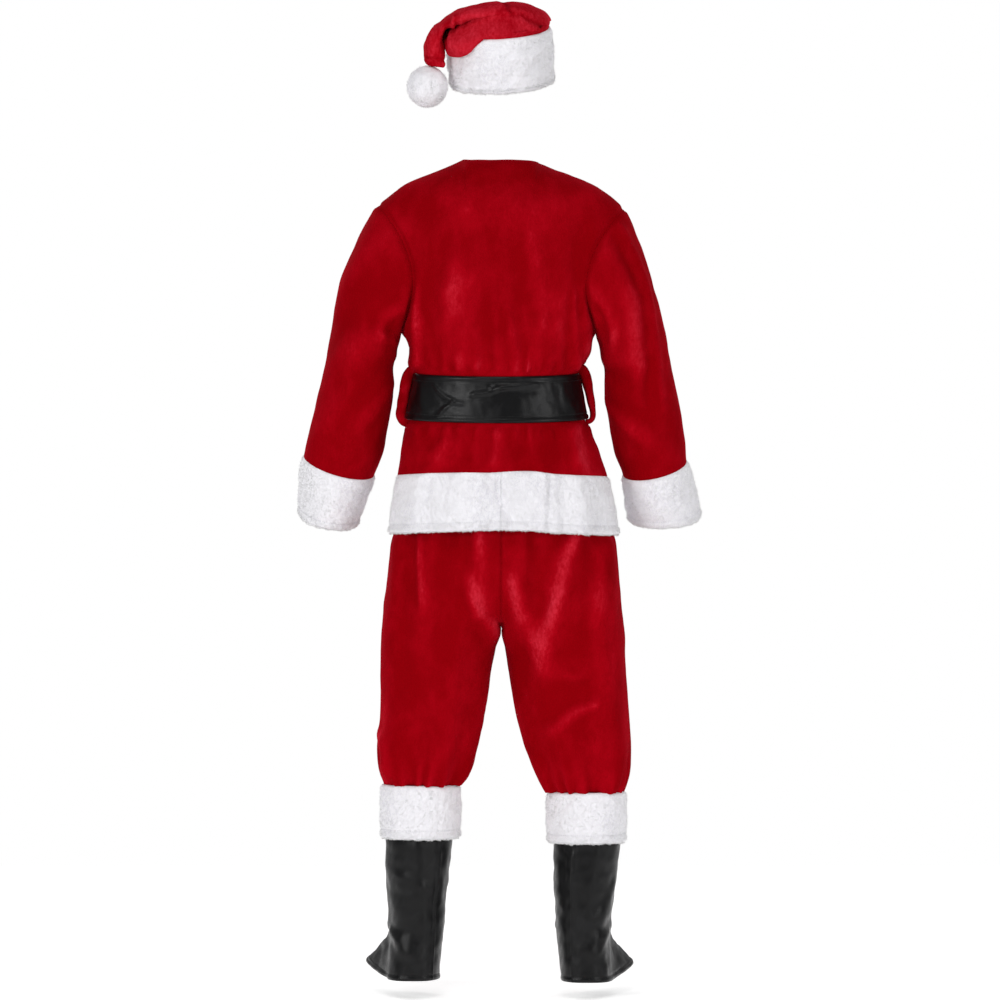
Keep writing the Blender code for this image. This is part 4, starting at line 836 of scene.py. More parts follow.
def grain_group():
    """A pressed grain of small cells with faint scuffs, for vinyl cloth and satin metal."""
    inputs = [("Vector", "NodeSocketVector", None), ("Cells", "NodeSocketFloat", 700.0)]
    outputs = [("Height", "NodeSocketFloat"), ("Scuff", "NodeSocketFloat")]
    group, start, end = make_group("Grain", inputs, outputs)
    cells = group.nodes.new("ShaderNodeTexVoronoi")
    cells.feature = "DISTANCE_TO_EDGE"
    group.links.new(start.outputs["Vector"], cells.inputs["Vector"])
    group.links.new(start.outputs["Cells"], cells.inputs["Scale"])
    edges = spread(group, cells.outputs["Distance"], 0.0, 0.25)
    rough = noise(group, start.outputs["Vector"], 260, 3)
    group.links.new(sums(group, "ADD", edges, sums(group, "MULTIPLY", rough, 0.6)), end.inputs["Height"])
    scuff = spread(group, noise(group, start.outputs["Vector"], 28, 5, (1, 1, 1), 0.8), 0.48, 0.72)
    group.links.new(scuff, end.inputs["Scuff"])
    return group


def group_once(name, maker):
    return bpy.data.node_groups.get(name) or maker()


def new_finish(name, roughness, bump_strength, bump_distance, group):
    """A material with object coordinates into one group, whose height goes into a bump."""
    finish = bpy.data.materials.new(name)
    finish.use_nodes = True
    tree = finish.node_tree
    shader = tree.nodes["Principled BSDF"]
    shader.inputs["Roughness"].default_value = roughness
    place = tree.nodes.new("ShaderNodeTexCoord")
    pattern = tree.nodes.new("ShaderNodeGroup")
    pattern.node_tree = group
    tree.links.new(place.outputs["Object"], pattern.inputs["Vector"])
    bump = tree.nodes.new("ShaderNodeBump")
    bump.inputs["Strength"].default_value = bump_strength
    bump.inputs["Distance"].default_value = bump_distance
    tree.links.new(pattern.outputs["Height"], bump.inputs["Height"])
    tree.links.new(bump.outputs["Normal"], shader.inputs["Normal"])
    return finish, tree, shader, pattern


def plush(name="Red plush"):
    """Red plush: nap patches in its colour, painted highlights and painted shade from its nap attribute, and
    a pink sheen at grazing angles.
    """
    found = bpy.data.materials.get(name)
    if found:
        return found
    finish, tree, shader, pattern = new_finish(name, 0.9, 0.55, 0.0012, group_once("Nap", nap_group))
    # The nap attribute carries painted highlights and painted shade as well as random nap
    nap = tree.nodes.new("ShaderNodeAttribute")
    nap.attribute_name = "nap"
    tree.links.new(nap.outputs["Fac"], pattern.inputs["Nap"])
    tree.links.new(pattern.outputs["Color"], shader.inputs["Base Color"])
    shader.inputs["Specular IOR Level"].default_value = 0.01
    shader.inputs["Sheen Weight"].default_value = 0.20
    shader.inputs["Sheen Roughness"].default_value = 0.30
    shader.inputs["Sheen Tint"].default_value = (1.0, 0.02, 0.07, 1.0)
    return finish


def fur(name="White fur", white=None):
    """White fur, or its loose tufts in a lighter white that paints out the shade among them."""
    found = bpy.data.materials.get(name)
    if found:
        return found
    finish, tree, shader, pattern = new_finish(name, 0.95, 0.40, 0.0012, group_once("Pile", pile_group))
    if white:
        pattern.inputs["White"].default_value = (*white, 1.0)
        pattern.inputs["Shade"].default_value = (*white, 1.0)
    tree.links.new(pattern.outputs["Color"], shader.inputs["Base Color"])
    shader.inputs["Specular IOR Level"].default_value = 0.15
    shader.inputs["Sheen Weight"].default_value = 0.60 if white else 0.25
    shader.inputs["Sheen Roughness"].default_value = 0.5
    return finish


def loose_fur():
    # Painted light: the tufts get a lighter white in both colours to lift the shade they cast on one another
    return fur("White fur tufts", (0.95, 0.95, 0.955))


def vinyl():
    """Black vinyl cloth: half matte, with a fine grain that is a little duller where scuffed."""
    name = "Black vinyl"
    found = bpy.data.materials.get(name)
    if found:
        return found
    finish, tree, shader, pattern = new_finish(name, 0.30, 0.16, 0.0003, group_once("Grain", grain_group))
    pattern.inputs["Cells"].default_value = 900.0
    base = (*colours().vinyl, 1.0)
    worn = tuple(min(1.0, channel * 1.6 + 0.002) for channel in base[:3]) + (1.0,)
    tree.links.new(mixed(tree, pattern.outputs["Scuff"], base, worn), shader.inputs["Base Color"])
    tree.links.new(spread(tree, pattern.outputs["Scuff"], 0, 1, 0.30, 0.38), shader.inputs["Roughness"])
    shader.inputs["Specular IOR Level"].default_value = 0.21
    return finish


def brass():
    """Satin yellow metal, darker in small worn spots."""
    name = "Satin brass"
    found = bpy.data.materials.get(name)
    if found:
        return found
    finish, tree, shader, pattern = new_finish(name, 0.3, 0.12, 0.0002, group_once("Grain", grain_group))
    pattern.inputs["Cells"].default_value = 1800.0
    base = (*colours().brass, 1.0)
    worn = tuple(channel * 0.7 for channel in base[:3]) + (1.0,)
    tree.links.new(mixed(tree, pattern.outputs["Scuff"], base, worn), shader.inputs["Base Color"])
    tree.links.new(spread(tree, pattern.outputs["Scuff"], 0, 1, 0.26, 0.42), shader.inputs["Roughness"])
    shader.inputs["Metallic"].default_value = 1.0
    return finish


def thread(name, colour):
    """Sewing thread: one colour, twisted so that it is lighter and darker along its length."""
    found = bpy.data.materials.get(name)
    if found:
        return found
    finish, tree, shader, pattern = new_finish(name, 0.7, 0.3, 0.0002, group_once("Grain", grain_group))
    darker = tuple(channel * 0.75 for channel in colour) + (1.0,)
    twisted = mixed(tree, pattern.outputs["Scuff"], (*colour, 1.0), darker)
    tree.links.new(twisted, shader.inputs["Base Color"])
    return finish


def black_thread():
    """The thread of the vinyl's seams."""
    return thread("Black thread", (0.02, 0.02, 0.02))


# Jacket body

def body_points(height, sine, face, out=0.0):
    """Points of the body at a height: x = half-width * sine and y = face * (depth + fold) *
    cosine^0.8, moved out square to a plain oval."""
    table = columns(BODY_COLUMNS, BODY)
    left, right, back, front, fold = (
        soft_read(table["height"], table[name], height, 0.006) for name in BODY_COLUMNS[1:]
    )
    cosine = np.sqrt(np.clip(1 - sine**2, 0, 1))
    x = np.where(sine > 0, left, right) * sine
    wave = fold * np.cos(TAU * x / 0.074 + 0.8 * np.sin(9 * x + 1))
    y = (np.where(face > 0, back, front) + wave * cosine) * cosine**SIDE_ROUNDING
    points = np.stack([x, face * y, np.broadcast_to(height, x.shape)], axis=-1)
    way = np.stack([sine, face * cosine, np.zeros_like(sine)], axis=-1)
    return points + unit(way) * out


def panel_sines():
    """Sines of the jacket's columns from the right side to the left, closer at the neck."""
    neck = np.arcsin(NECK_FRACTION * np.sin(np.linspace(0, math.pi / 2, NECK_COLUMNS + 1)))
    half = np.concatenate([neck, np.linspace(neck[-1], math.pi / 2, SHOULDER_COLUMNS + 1)[1:]])
    return np.sin(np.concatenate([-half[:0:-1], half]))


def armhole_x(side, turn):
    """Where the armhole seam lies at an angle round it: an oval, bowed in at its middle."""
    outer_x, _, inner_x, _, _, _, _, bow = SLEEVES[side][0]
    middle, half = (outer_x + inner_x) / 2, (outer_x - inner_x) / 2
    return middle + half * np.cos(turn) - bow * np.sin(turn) ** 2


def top_line(face, sine):
    """The shoulder seams, and the neck edge as a quarter of an oval on each side."""
    share = np.abs(sine)
    is_neck = share <= NECK_FRACTION + 1e-9
    run = np.where(is_neck, 0, (share - NECK_FRACTION) / (1 - NECK_FRACTION))
    side = np.where(sine >= 0, 0, 1)
    neck_h, tip_h, drop = (np.array(column)[side] for column in zip(*SHOULDER.values()))
    tip_x = np.where(sine >= 0, SLEEVES["left"][0][0], SLEEVES["right"][0][0])
    z = neck_h + (tip_h + drop - neck_h) * run - drop * run**6
    y = NECK_SIDE_Y * (1 - run)
    middle_y, middle_z = NECK_BACK if face > 0 else NECK_FRONT
    bend = np.sqrt(np.clip(1 - (share / NECK_FRACTION) ** 2, 0, 1))
    y = np.where(is_neck, NECK_SIDE_Y + (middle_y - NECK_SIDE_Y) * bend, y)
    z = np.where(is_neck, neck_h + (middle_z - neck_h) * bend, z)
    return np.stack([tip_x * sine, y, z], axis=1)


def jacket_panel(face):
    """Rows of the body up to the underarm, then rows at equal angles round both armholes, each
    blended from the underarm line or the top line towards the blades' or the chest's depth."""
    sine = panel_sines()
    cosine = np.sqrt(np.clip(1 - sine**2, 0, 1))
    heights = np.linspace(HEM_TOP, UNDERARM_HEIGHT, BODY_ROWS)
    lower = body_points(heights[:, None], np.broadcast_to(sine, (BODY_ROWS, len(sine))), face)
    under, top = lower[-1], top_line(face, sine)
    depth = BLADE_DEPTH if face > 0 else CHEST_DEPTH
    middle_y = face * (ARMHOLE_HALF_DEPTH + (depth - ARMHOLE_HALF_DEPTH) * cosine**2)
    tip_heights = np.where(sine >= 0, SLEEVES["left"][0][1], SLEEVES["right"][0][1])
    middle_z = (tip_heights + UNDERARM_HEIGHT) / 2
    neck_y, neck_z = NECK_BACK if face > 0 else NECK_FRONT
    soft_top = np.stack(
        [top[:, 0], neck_y * cosine**2, tip_heights + (neck_z - tip_heights) * cosine**2], axis=1
    )
    turn = np.linspace(math.pi, 0, ARMHOLE_ROWS + 1)[1:, None]
    rise, bulge = np.cos(turn), np.abs(np.sin(turn)) ** BULGE_ROUNDING
    x = np.where(sine > 0, armhole_x("left", turn), armhole_x("right", turn)) * sine
    near_top = (np.maximum(rise, 0) ** 6)[..., None]
    base = np.where(rise[..., None] >= 0, soft_top + (top - soft_top) * near_top, under)
    y = base[..., 1] + (middle_y - base[..., 1]) * bulge
    z = middle_z + (base[..., 2] - middle_z) * np.abs(rise)
    return np.concatenate([lower, np.stack([x, y, z], axis=-1)])


def sagged(points):
    """The belt's weight draws the back of the waist down: z less the sag * (y / depth)^1.2 * a share
    that is whole at the belt and fades out above and below it."""
    level = np.interp(points[..., 2], SAG_LEVELS, SAG_SHARES)
    level = level * level * (3 - 2 * level)
    behind = np.clip(points[..., 1] / SAG_DEPTH, 0, 1.1) ** SAG_FLATNESS
    lowered = np.array(points, float)
    lowered[..., 2] -= WAIST_SAG * behind * level
    return lowered


def hem_line(points):
    """Let the hem run off the level: each point moves up or down by a share of the shifts at the
    seam and at the edge, and by less and less above the seam."""
    table = columns(HEM_LINE_COLUMNS, HEM_LINE)
    fine = np.linspace(HEM_LINE[0][0], HEM_LINE[-1][0], 120)
    curves = [smooth_curve(table["x"], table[name], fine) for name in ("seam", "edge")]
    at_seam, at_edge = (np.interp(points[..., 0], fine, curve) for curve in curves)
    down = np.clip((HEM_TOP - points[..., 2]) / (HEM_TOP - HEM_BOTTOM), 0, 1)
    above = np.clip((points[..., 2] - HEM_TOP) / HEM_FADE, 0, 1)
    moved = points.copy()
    moved[..., 2] += at_seam * (1 - down) * (1 - above) ** 2 + at_edge * down
    return moved


def belt_tucks(points):
    """Small uneven upright tucks beside the belt, highest 12 mm away from it and gone under it."""
    x, height = points[..., 0], points[..., 2]
    gap = np.maximum(height - BELT_TOP, BELT_BOTTOM - height) / 0.012
    reach = np.clip(gap, 0, None) * np.exp(1 - np.clip(gap, 0, None))
    depth = points[..., 1]
    return 0.0030 * reach * np.sin(TAU * x / 0.027 + 2.2 * np.sin(31 * x + 20 * depth) + 40 * depth)


def jacket_relief(grid, face):
    """Height of every crease and tuck on a jacket panel, none under the belt or at its seams."""
    x, height = grid[..., 0], grid[..., 2]
    rise = creases(x, height, BACK_CREASES if face > 0 else FRONT_CREASES)
    rise = rise + belt_tucks(grid) + 0.0016 * ripple(grid, 0.13, 3) + 0.0007 * ripple(grid, 0.045, 4)
    clear = np.clip(np.maximum(height - BELT_TOP - 0.004, BELT_BOTTOM - 0.004 - height) / 0.010, 0, 1)
    return rise * clear * sizes().crease_depth


def nap_with_painted_light(rise, points, seed, sheen=0.0):
    """How far the plush's colour is lifted: painted highlights on raised creases and painted shade in their
    troughs, lighter on one side of each slope, painted sheen along the sheen lines, and broad random patches
    of nap.
    """
    slope = np.gradient(rise, axis=1) / np.maximum(np.linalg.norm(np.gradient(points, axis=1), axis=2), 1e-6)
    # Painted light: the rise lightens ridges and darkens troughs, the slope lightens one side of each
    # crease, and the sheen lines paint highlights
    value = 0.10 + 28 * np.clip(rise, -0.005, 0.008) + 0.30 * slope + 0.36 * sheen
    value = value + 0.06 * ripple(points, 0.16, seed)
    return np.clip(value, 0, 1)


def sewn_valley(grid, deep, reach, **edges):
    """A seam draws the cloth in: -deep * exp(-(distance from the edge / reach)^2)."""
    return -deep * (1 - edge_fade(grid, reach, **edges))


def relaxed(grid, first, last, times):
    """Rows between two numbers, each moved several times halfway to the mean of its neighbours."""
    grid = grid.copy()
    for _ in range(times):
        mean = (grid[first - 1 : last - 1] + grid[first + 1 : last + 1]) / 2
        grid[first:last, 1:-1] += (mean - grid[first:last])[:, 1:-1] / 2
    return grid


def dressed(piece):
    """Hand back a piece as it is."""
    return piece


def back_and_fronts():
    """Outer and inner points, nap with its painted highlights and shade, and columns of the jacket's three
    panels.
    """
    low, high = BODY_ROWS - 5, BODY_ROWS + 6
    panels = {face: relaxed(jacket_panel(face), low, high, 60) for face in (1, -1)}
    normals = {face: outward(grid, False) for face, grid in panels.items()}
    turns = np.linspace(math.pi, 0, ARMHOLE_ROWS + 1)
    is_shoulder = np.abs(panel_sines()) >= NECK_FRACTION - 1e-9
    shared = unit(normals[1][-1] + normals[-1][-1])
    made = {}
    for face, grid in panels.items():
        found = normals[face]
        found[:BODY_ROWS, (0, -1), 1] = 0
        found[0, :, 2] = 0
        found[-1][is_shoulder] = shared[is_shoulder]
        inward = np.stack([0 * turns, -np.sin(face * turns), -np.cos(turns)], axis=1)
        found[BODY_ROWS - 1 :, 0] = found[BODY_ROWS - 1 :, -1] = -inward
        found = unit(found)
        rise = jacket_relief(grid, face) * edge_fade(grid, 0.014)
        rise = rise + sewn_valley(grid, ARMHOLE_VALLEY, 0.006, first_row=False, last_row=False)
        rise = np.maximum(rise + sewn_valley(grid, 0.0015, 0.004, first_row=False), -ARMHOLE_VALLEY)
        outer = grid + found * rise[..., None]
        # Painted highlights along the back's sheen lines, with painted light and shade from the creases
        sheen = creases(grid[..., 0], grid[..., 2], BACK_PAINTED_SHEEN) if face > 0 else 0.0
        nap = nap_with_painted_light(rise, grid, 8, sheen)
        made[face] = outer, outer - found * sizes().plush_wall, nap
    return made


class SUIT_OT_jacket(Operator):
    """Make the jacket's back and its two fronts, which meet edge to edge down the middle"""

    bl_idname = "suit.jacket"
    bl_label = "Jacket"

    def execute(self, context):
        made = back_and_fronts()
        middle = len(panel_sines()) // 2
        pieces = {
            "jacket_back": (1, slice(None), (0.50, 0.62), 0.27),
            "jacket_front_right": (-1, slice(None, middle + 1), (0.26, 0.60), 0.135),
            "jacket_front_left": (-1, slice(middle, None), (0.26, 0.60), 0.135),
        }
        for name, (face, part, flat, area) in pieces.items():
            outer, inner, nap = (grid[:, part] for grid in made[face])
            points, groups = wall_of(outer, inner, False)
            hung = hem_line(sagged(points))
            piece = add_piece(name + "_plush", hung, groups, plush(), [name], wall_nap(nap))
            dressed(piece)
        return {"FINISHED"}


# Sleeves

def sleeve_rings(rows, count, turns, side):
    """Rings through pairs of outline points: ovals from the outer to the inner outline, bowed at
    the armhole and leaning forward with the forearm."""
    table = columns(SLEEVE_COLUMNS, rows)
    steps = np.arange(len(rows), dtype=float)
    wanted = np.linspace(0, len(rows) - 1, count)
    read = {name: smooth_curve(steps, table[name], wanted)[:, None] for name in SLEEVE_COLUMNS}
    lean = np.radians(read["lean"])
    cosine, sine = np.cos(turns), np.sin(turns)
    from_cap = np.clip(wanted / 3, 0, 1)[:, None] if len(rows) > 2 else 1.0
    softness = SLEEVE_CAP_ROUNDING + (1 - SLEEVE_CAP_ROUNDING) * from_cap
    reach = read["depth"] * np.sign(sine) * np.abs(sine) ** softness
    x = (read["outer_x"] + read["inner_x"]) / 2 + (read["outer_x"] - read["inner_x"]) / 2 * cosine
    y = read["y"] + reach * np.cos(lean)
    z = (read["outer_h"] + read["inner_h"]) / 2 + (read["outer_h"] - read["inner_h"]) / 2 * cosine
    sign = 1 if side == "left" else -1
    return np.stack([sign * (x - read["bow"] * sine**2), y, z - reach * np.sin(lean)], axis=2)


def sleeve_relief(turns, rows):
    """Creases on the sleeve laid flat, each read round the sleeve from its own middle."""
    along = np.linspace(0, SLEEVE_LENGTH, SLEEVE_ROWS)[:, None]
    degrees = np.degrees(turns)[None, :]
    total = np.zeros((SLEEVE_ROWS, len(turns)))
    scale = math.radians(1) * SLEEVE_RADIUS
    for from_angle, from_share, to_angle, to_share, width, rise, bow in rows:
        middle = (from_angle + to_angle) / 2
        across = ((degrees - middle + 180) % 360 - 180) * scale
        flat = (
            (from_angle - middle) * scale, from_share * SLEEVE_LENGTH,
            (to_angle - middle) * scale, to_share * SLEEVE_LENGTH, width, rise, bow,
        )
        total += creases(across, along, [flat])
    return total * (SLEEVE_EDGE_SHARE + (1 - SLEEVE_EDGE_SHARE) * np.abs(np.sin(turns)) ** 1.5)[None, :]


class SUIT_OT_sleeves(Operator):
    """Make both sleeves from the armhole seam to the fur cuff"""

    bl_idname = "suit.sleeves"
    bl_label = "Sleeves"

    def execute(self, context):
        turns = np.linspace(0, TAU, SLEEVE_COUNT, endpoint=False)
        for side in SIDES:
            grid = sleeve_rings(SLEEVES[side], SLEEVE_ROWS, turns, side)
            normals = outward(grid, True)
            normals[0] = np.stack([0 * turns, np.sin(turns), np.cos(turns)], axis=1)
            rise = sleeve_relief(turns, SLEEVE_CREASES[side]) * sizes().crease_depth
            rise = rise + 0.0014 * ripple(grid, 0.11, 11) + 0.0006 * ripple(grid, 0.04, 12)
            rise = rise * edge_fade(grid, 0.014, columns_too=False)
            seam = {"last_row": False, "columns_too": False}
            rise = rise + sewn_valley(grid, ARMHOLE_VALLEY, 0.006, **seam)
            rise = rise + 0.0030 * (1 - edge_fade(grid, 0.020, **seam)) * edge_fade(grid, 0.008, **seam)
            outer = grid + normals * rise[..., None]
            points, groups = wall_of(outer, outer - normals * sizes().plush_wall, True)
            # Painted highlights on the sleeve's raised creases and painted shade in their troughs
            nap = wall_nap(nap_with_painted_light(rise, grid, 9))
            name = "sleeve_" + side
            piece = add_piece(name + "_plush", points, groups, plush(), [name], nap)
            dressed(piece)
        return {"FINISHED"}


# Fur trim

def band_proud(share, lip):
    """Height of a fur band across its width: rounded at its top, crowned, drawn in along its
    stitched channel and full again as a rolled lip at its lower edge."""
    top = 0.0010 * np.sqrt(np.clip(share / 0.05, 0, 1)) - 0.0012 * np.exp(-share / 0.03)
    crown = 0.0012 * np.sin(np.clip(share / 0.86, 0, 1) * math.pi)
    channel = -0.0018 * np.exp(-(((share - lip) / 0.018) ** 2))
    roll = 0.0004 * np.exp(-(((share - (1 + lip) / 2 - 0.01) / ((1 - lip) * 0.36)) ** 2))
    return top + crown + channel + roll


# Lip tufts stand on at least this last share of a band's rows.
LIP_TUFTS_FROM = 0.93


def fur_band(name, skin, closed, lip, wall, count, seed, taut=0.0012, tuft_seed=0):
    """A band of fur on a grid from its sewn edge to its free edge: the skin gets its profile and
    clumps of pile, then tufts all over, more on its lip and edge, and a row of stitches. The wall
    is one depth, or one for each row."""
    rows, across = skin.shape[:2]
    share = np.linspace(0, 1, rows)[:, None]
    normals = outward(skin, closed)
    relief = taut * ripple(skin, 0.034, seed) + 0.0007 * ripple(skin, 0.011, seed + 1)
    relief = relief * np.clip(share / 0.08, 0, 1) + band_proud(share, lip)
    outer = skin + normals * relief[..., None]
    points, groups = wall_of(outer, skin - normals * wall, closed)
    parts = []
    seed = seed + tuft_seed
    down = unit(skin[-1].mean(axis=0) - skin[0].mean(axis=0))
    swirl = 0.5
    length = sizes().pile_length
    face_roots, face_normals = scattered(outer, normals, closed, count, seed)
    lean = down * 1.6 + swirl * np.stack([ripple(face_roots, 0.03, seed + i) for i in (2, 3, 4)], axis=1)
    parts.append(tufts(face_roots, face_normals, length * 0.8, lean, seed))
    lip_roots, lip_normals = scattered(outer, normals, closed, count // 8, seed + 5, min(lip + 0.02, LIP_TUFTS_FROM), 1.0)
    parts.append(tufts(lip_roots, lip_normals, length * 0.8, down * 0.9, seed + 6))
    edge = rim(outer[-1], (skin - normals * wall)[-1], outer[-2])
    picked = np.random.default_rng(seed + 7).integers(0, across - (0 if closed else 1), count // 4)
    part = np.random.default_rng(seed + 8).random((count // 4, 1))
    edge_roots = edge[picked] * (1 - part) + edge[(picked + 1) % across] * part
    edge_normals = unit(np.broadcast_to(down, edge_roots.shape) + 0.5 * normals[-1][picked])
    parts.append(tufts(edge_roots, edge_normals, length * 0.55, down * 0.2, seed + 9))
    ragged = np.clip(0.75 + 0.45 * ripple(edge_roots, 0.006, seed + 10), 0.2, 1.3)[:, None]
    parts.append(tufts(edge_roots, edge_normals, length * ragged, down * 0.3, seed + 11))
    tuft_points, tuft_faces = joined(parts)
    pile = add_piece(name + "_pile", tuft_points, [tuft_faces], loose_fur())
    row = int(round(lip * (rows - 1)))
    line, up = outer[row], normals[row]
    if closed:
        line, up = np.concatenate([line, line[:1]]), np.concatenate([up, up[:1]])
    sewn = stitches(line + up * 0.0006, up, sizes().stitch_pitch, seed)
    sewing = add_piece(
        name + "_stitches", sewn[0], [sewn[1]], thread("White thread", (0.70, 0.70, 0.74))
    )
    piece = add_piece(name + "_fur", points, groups, fur(), [name])
    dressed(piece)
    return piece


class SUIT_OT_hem_trim(Operator):
    """Make the fur band round the hem in two halves, parted at the centre back and the fronts"""

    bl_idname = "suit.hem_trim"
    bl_label = "Hem trim"

    def execute(self, context):
        share = np.linspace(0, 1, 44)[:, None]
        for side, sign in (("left", 1), ("right", -1)):
            turn = np.linspace(0.0004, math.pi - 0.0004, 260)[None, :]
            sine = sign * np.broadcast_to(np.sin(turn), (44, 260))
            face = np.where(np.cos(turn) > 0, 1.0, -1.0)
            height = HEM_TOP - SEAM - share * (HEM_TOP - SEAM - HEM_BOTTOM)
            skin = body_points(np.broadcast_to(height, sine.shape), sine, face)
            wave = 0.0050 * creases(
                np.broadcast_to(skin[..., 0], sine.shape), np.zeros(sine.shape),
                [(x, -0.05, x, 0.05, 0.016, 1.0, 0.0) for x in HEM_WAVES],
            )
            dents = creases(skin[..., 0], skin[..., 2], HEM_FOLDS) * np.clip(share / 0.10, 0, 1)
            way = outward(skin, False)
            way[..., 2] = 0
            skin = hem_line(skin + unit(way) * (wave * share + dents)[..., None])
            fur_band(
                "hem_trim_" + side, skin, False, 0.89, sizes().fur_wall, 8000, 20,
                tuft_seed=0 if sign > 0 else 20,
            )
        return {"FINISHED"}


class SUIT_OT_sleeve_cuffs(Operator):
    """Make the fur cuffs of the sleeves"""

    bl_idname = "suit.sleeve_cuffs"
    bl_label = "Sleeve cuffs"

    def execute(self, context):
        turns = np.linspace(0, TAU, 150, endpoint=False)
        share = np.linspace(0, 1, 38)[:, None, None]
        for side, seed in zip(SIDES, (60, 80)):
            ends = sleeve_rings(CUFFS[side], 2, turns, side)
            sewn = sleeve_rings(SLEEVES[side], 2, turns, side)[-1]
            down = unit(ends[1] - ends[0])
            skin = ends[0] + share * (ends[1] - ends[0])
            near = np.clip(1 - share / 0.12, 0, 1) ** 2
            skin = skin * (1 - near) + (sewn + down * (0.0006 + share * 0.1)) * near
            normals = outward(skin, True)
            soft = 0.0016 + 0.0030 * np.sin(share[..., 0] * math.pi) * np.cos(3 * turns + 1.2)[None, :]
            skin = skin + normals * soft[..., None]
            wall = CUFF_WALL_TOP + (CUFF_WALL_LIP - CUFF_WALL_TOP) * share ** 2
            fur_band("sleeve_cuff_" + side, skin, True, 0.88, wall, 5200, seed)
        return {"FINISHED"}


class SUIT_OT_leg_cuffs(Operator):
    """Make the fur cuffs of the trousers"""

    bl_idname = "suit.leg_cuffs"
    bl_label = "Leg cuffs"

    def execute(self, context):
        turns = np.linspace(0, TAU, 168, endpoint=False)
        share = np.linspace(0, 1, 38)[:, None]
        for side, seed in zip(SIDES, (100, 120)):
            size = LEG_CUFFS[side]
            x = size["x"] + size["half"] * np.cos(turns) + 0 * share
            y = size["depth"] * np.sin(turns) + 0 * share
            height = size["top"] + share * (size["bottom"] + 0.0025 - size["top"]) + 0 * turns
            skin = np.stack([x, y, height], axis=-1)
            fur_band(
                "leg_cuff_" + side, skin, True, 0.87, sizes().fur_wall, 5800, seed
            )
        return {"FINISHED"}


# Trousers

def leg_panel(side, face):
    """Half a leg and half the seat: ovals from the inside seam round the back or front to the
    outside, whose centre moves from the leg to the middle of the body above the crotch."""
    bottom = LEGS[side][0][0]
    below = np.linspace(bottom, CROTCH_HEIGHT, LEG_ROWS_BELOW)
    heights = np.concatenate([below, np.linspace(CROTCH_HEIGHT, TROUSER_TOP, LEG_ROWS_ABOVE)[1:]])
    table = columns(LEG_COLUMNS, LEGS[side])
    read = {name: soft_read(table["height"], table[name], heights, 0.014) for name in LEG_COLUMNS[1:]}
    rise = np.clip((heights - CROTCH_HEIGHT) / (SEAT_HEIGHT - CROTCH_HEIGHT), 0, 1)
    lean = np.where(heights >= CROTCH_HEIGHT, (1 - rise) ** SEAT_CURVE, 1.0)
    is_leg = heights < CROTCH_HEIGHT - 1e-6
    inner = np.minimum(read["inner"], np.interp(heights, table["height"], table["inner"]) + 0.002)
    half = np.where(is_leg, (read["outer"] - inner) / 2, read["outer"] / (1 + lean))
    centre = np.where(is_leg, (read["outer"] + inner) / 2, lean * half)
    start = np.where(is_leg, 0.0, np.arccos(np.clip(lean, 0, 1)))
    share = np.linspace(0, 1, LEG_COUNT + 1)
    turn = start[:, None] + (math.pi - start[:, None]) * share
    wave = read["gather"][:, None] * np.sin(TAU * GATHERS_ON_HALF_LEG * share)
    depth = read["back"] if face > 0 else read["front"]
    softness = np.interp(heights, *zip(*LEG_SOFTNESS))[:, None]
    x = centre[:, None] - (half[:, None] + wave) * np.cos(turn)
    y = face * (depth[:, None] + wave) * np.abs(np.sin(turn)) ** softness
    sign = 1 if side == "left" else -1
    return np.stack([sign * x, y, np.broadcast_to(heights[:, None], x.shape)], axis=2)


def cuff_gathers(grid, side, face):
    """Uneven upright gathers over the elastic at the knee, which die out 9 cm above it."""
    above = grid[..., 2] - LEGS[side][0][0]
    share = np.linspace(0, 1, grid.shape[1])[None, :]
    shift = {"left": 0.7, "right": 2.9}[side] + face
    wave = np.sin(TAU * (7 * share + 0.35 * np.sin(TAU * (1.7 * share + 0.1 * shift)) + 0.13 * shift))
    return 0.0030 * np.exp(-((above / 0.045) ** 2)) * wave + 0.0012 * np.exp(-above / 0.02) * np.sin(
        TAU * 15 * share + shift
    )


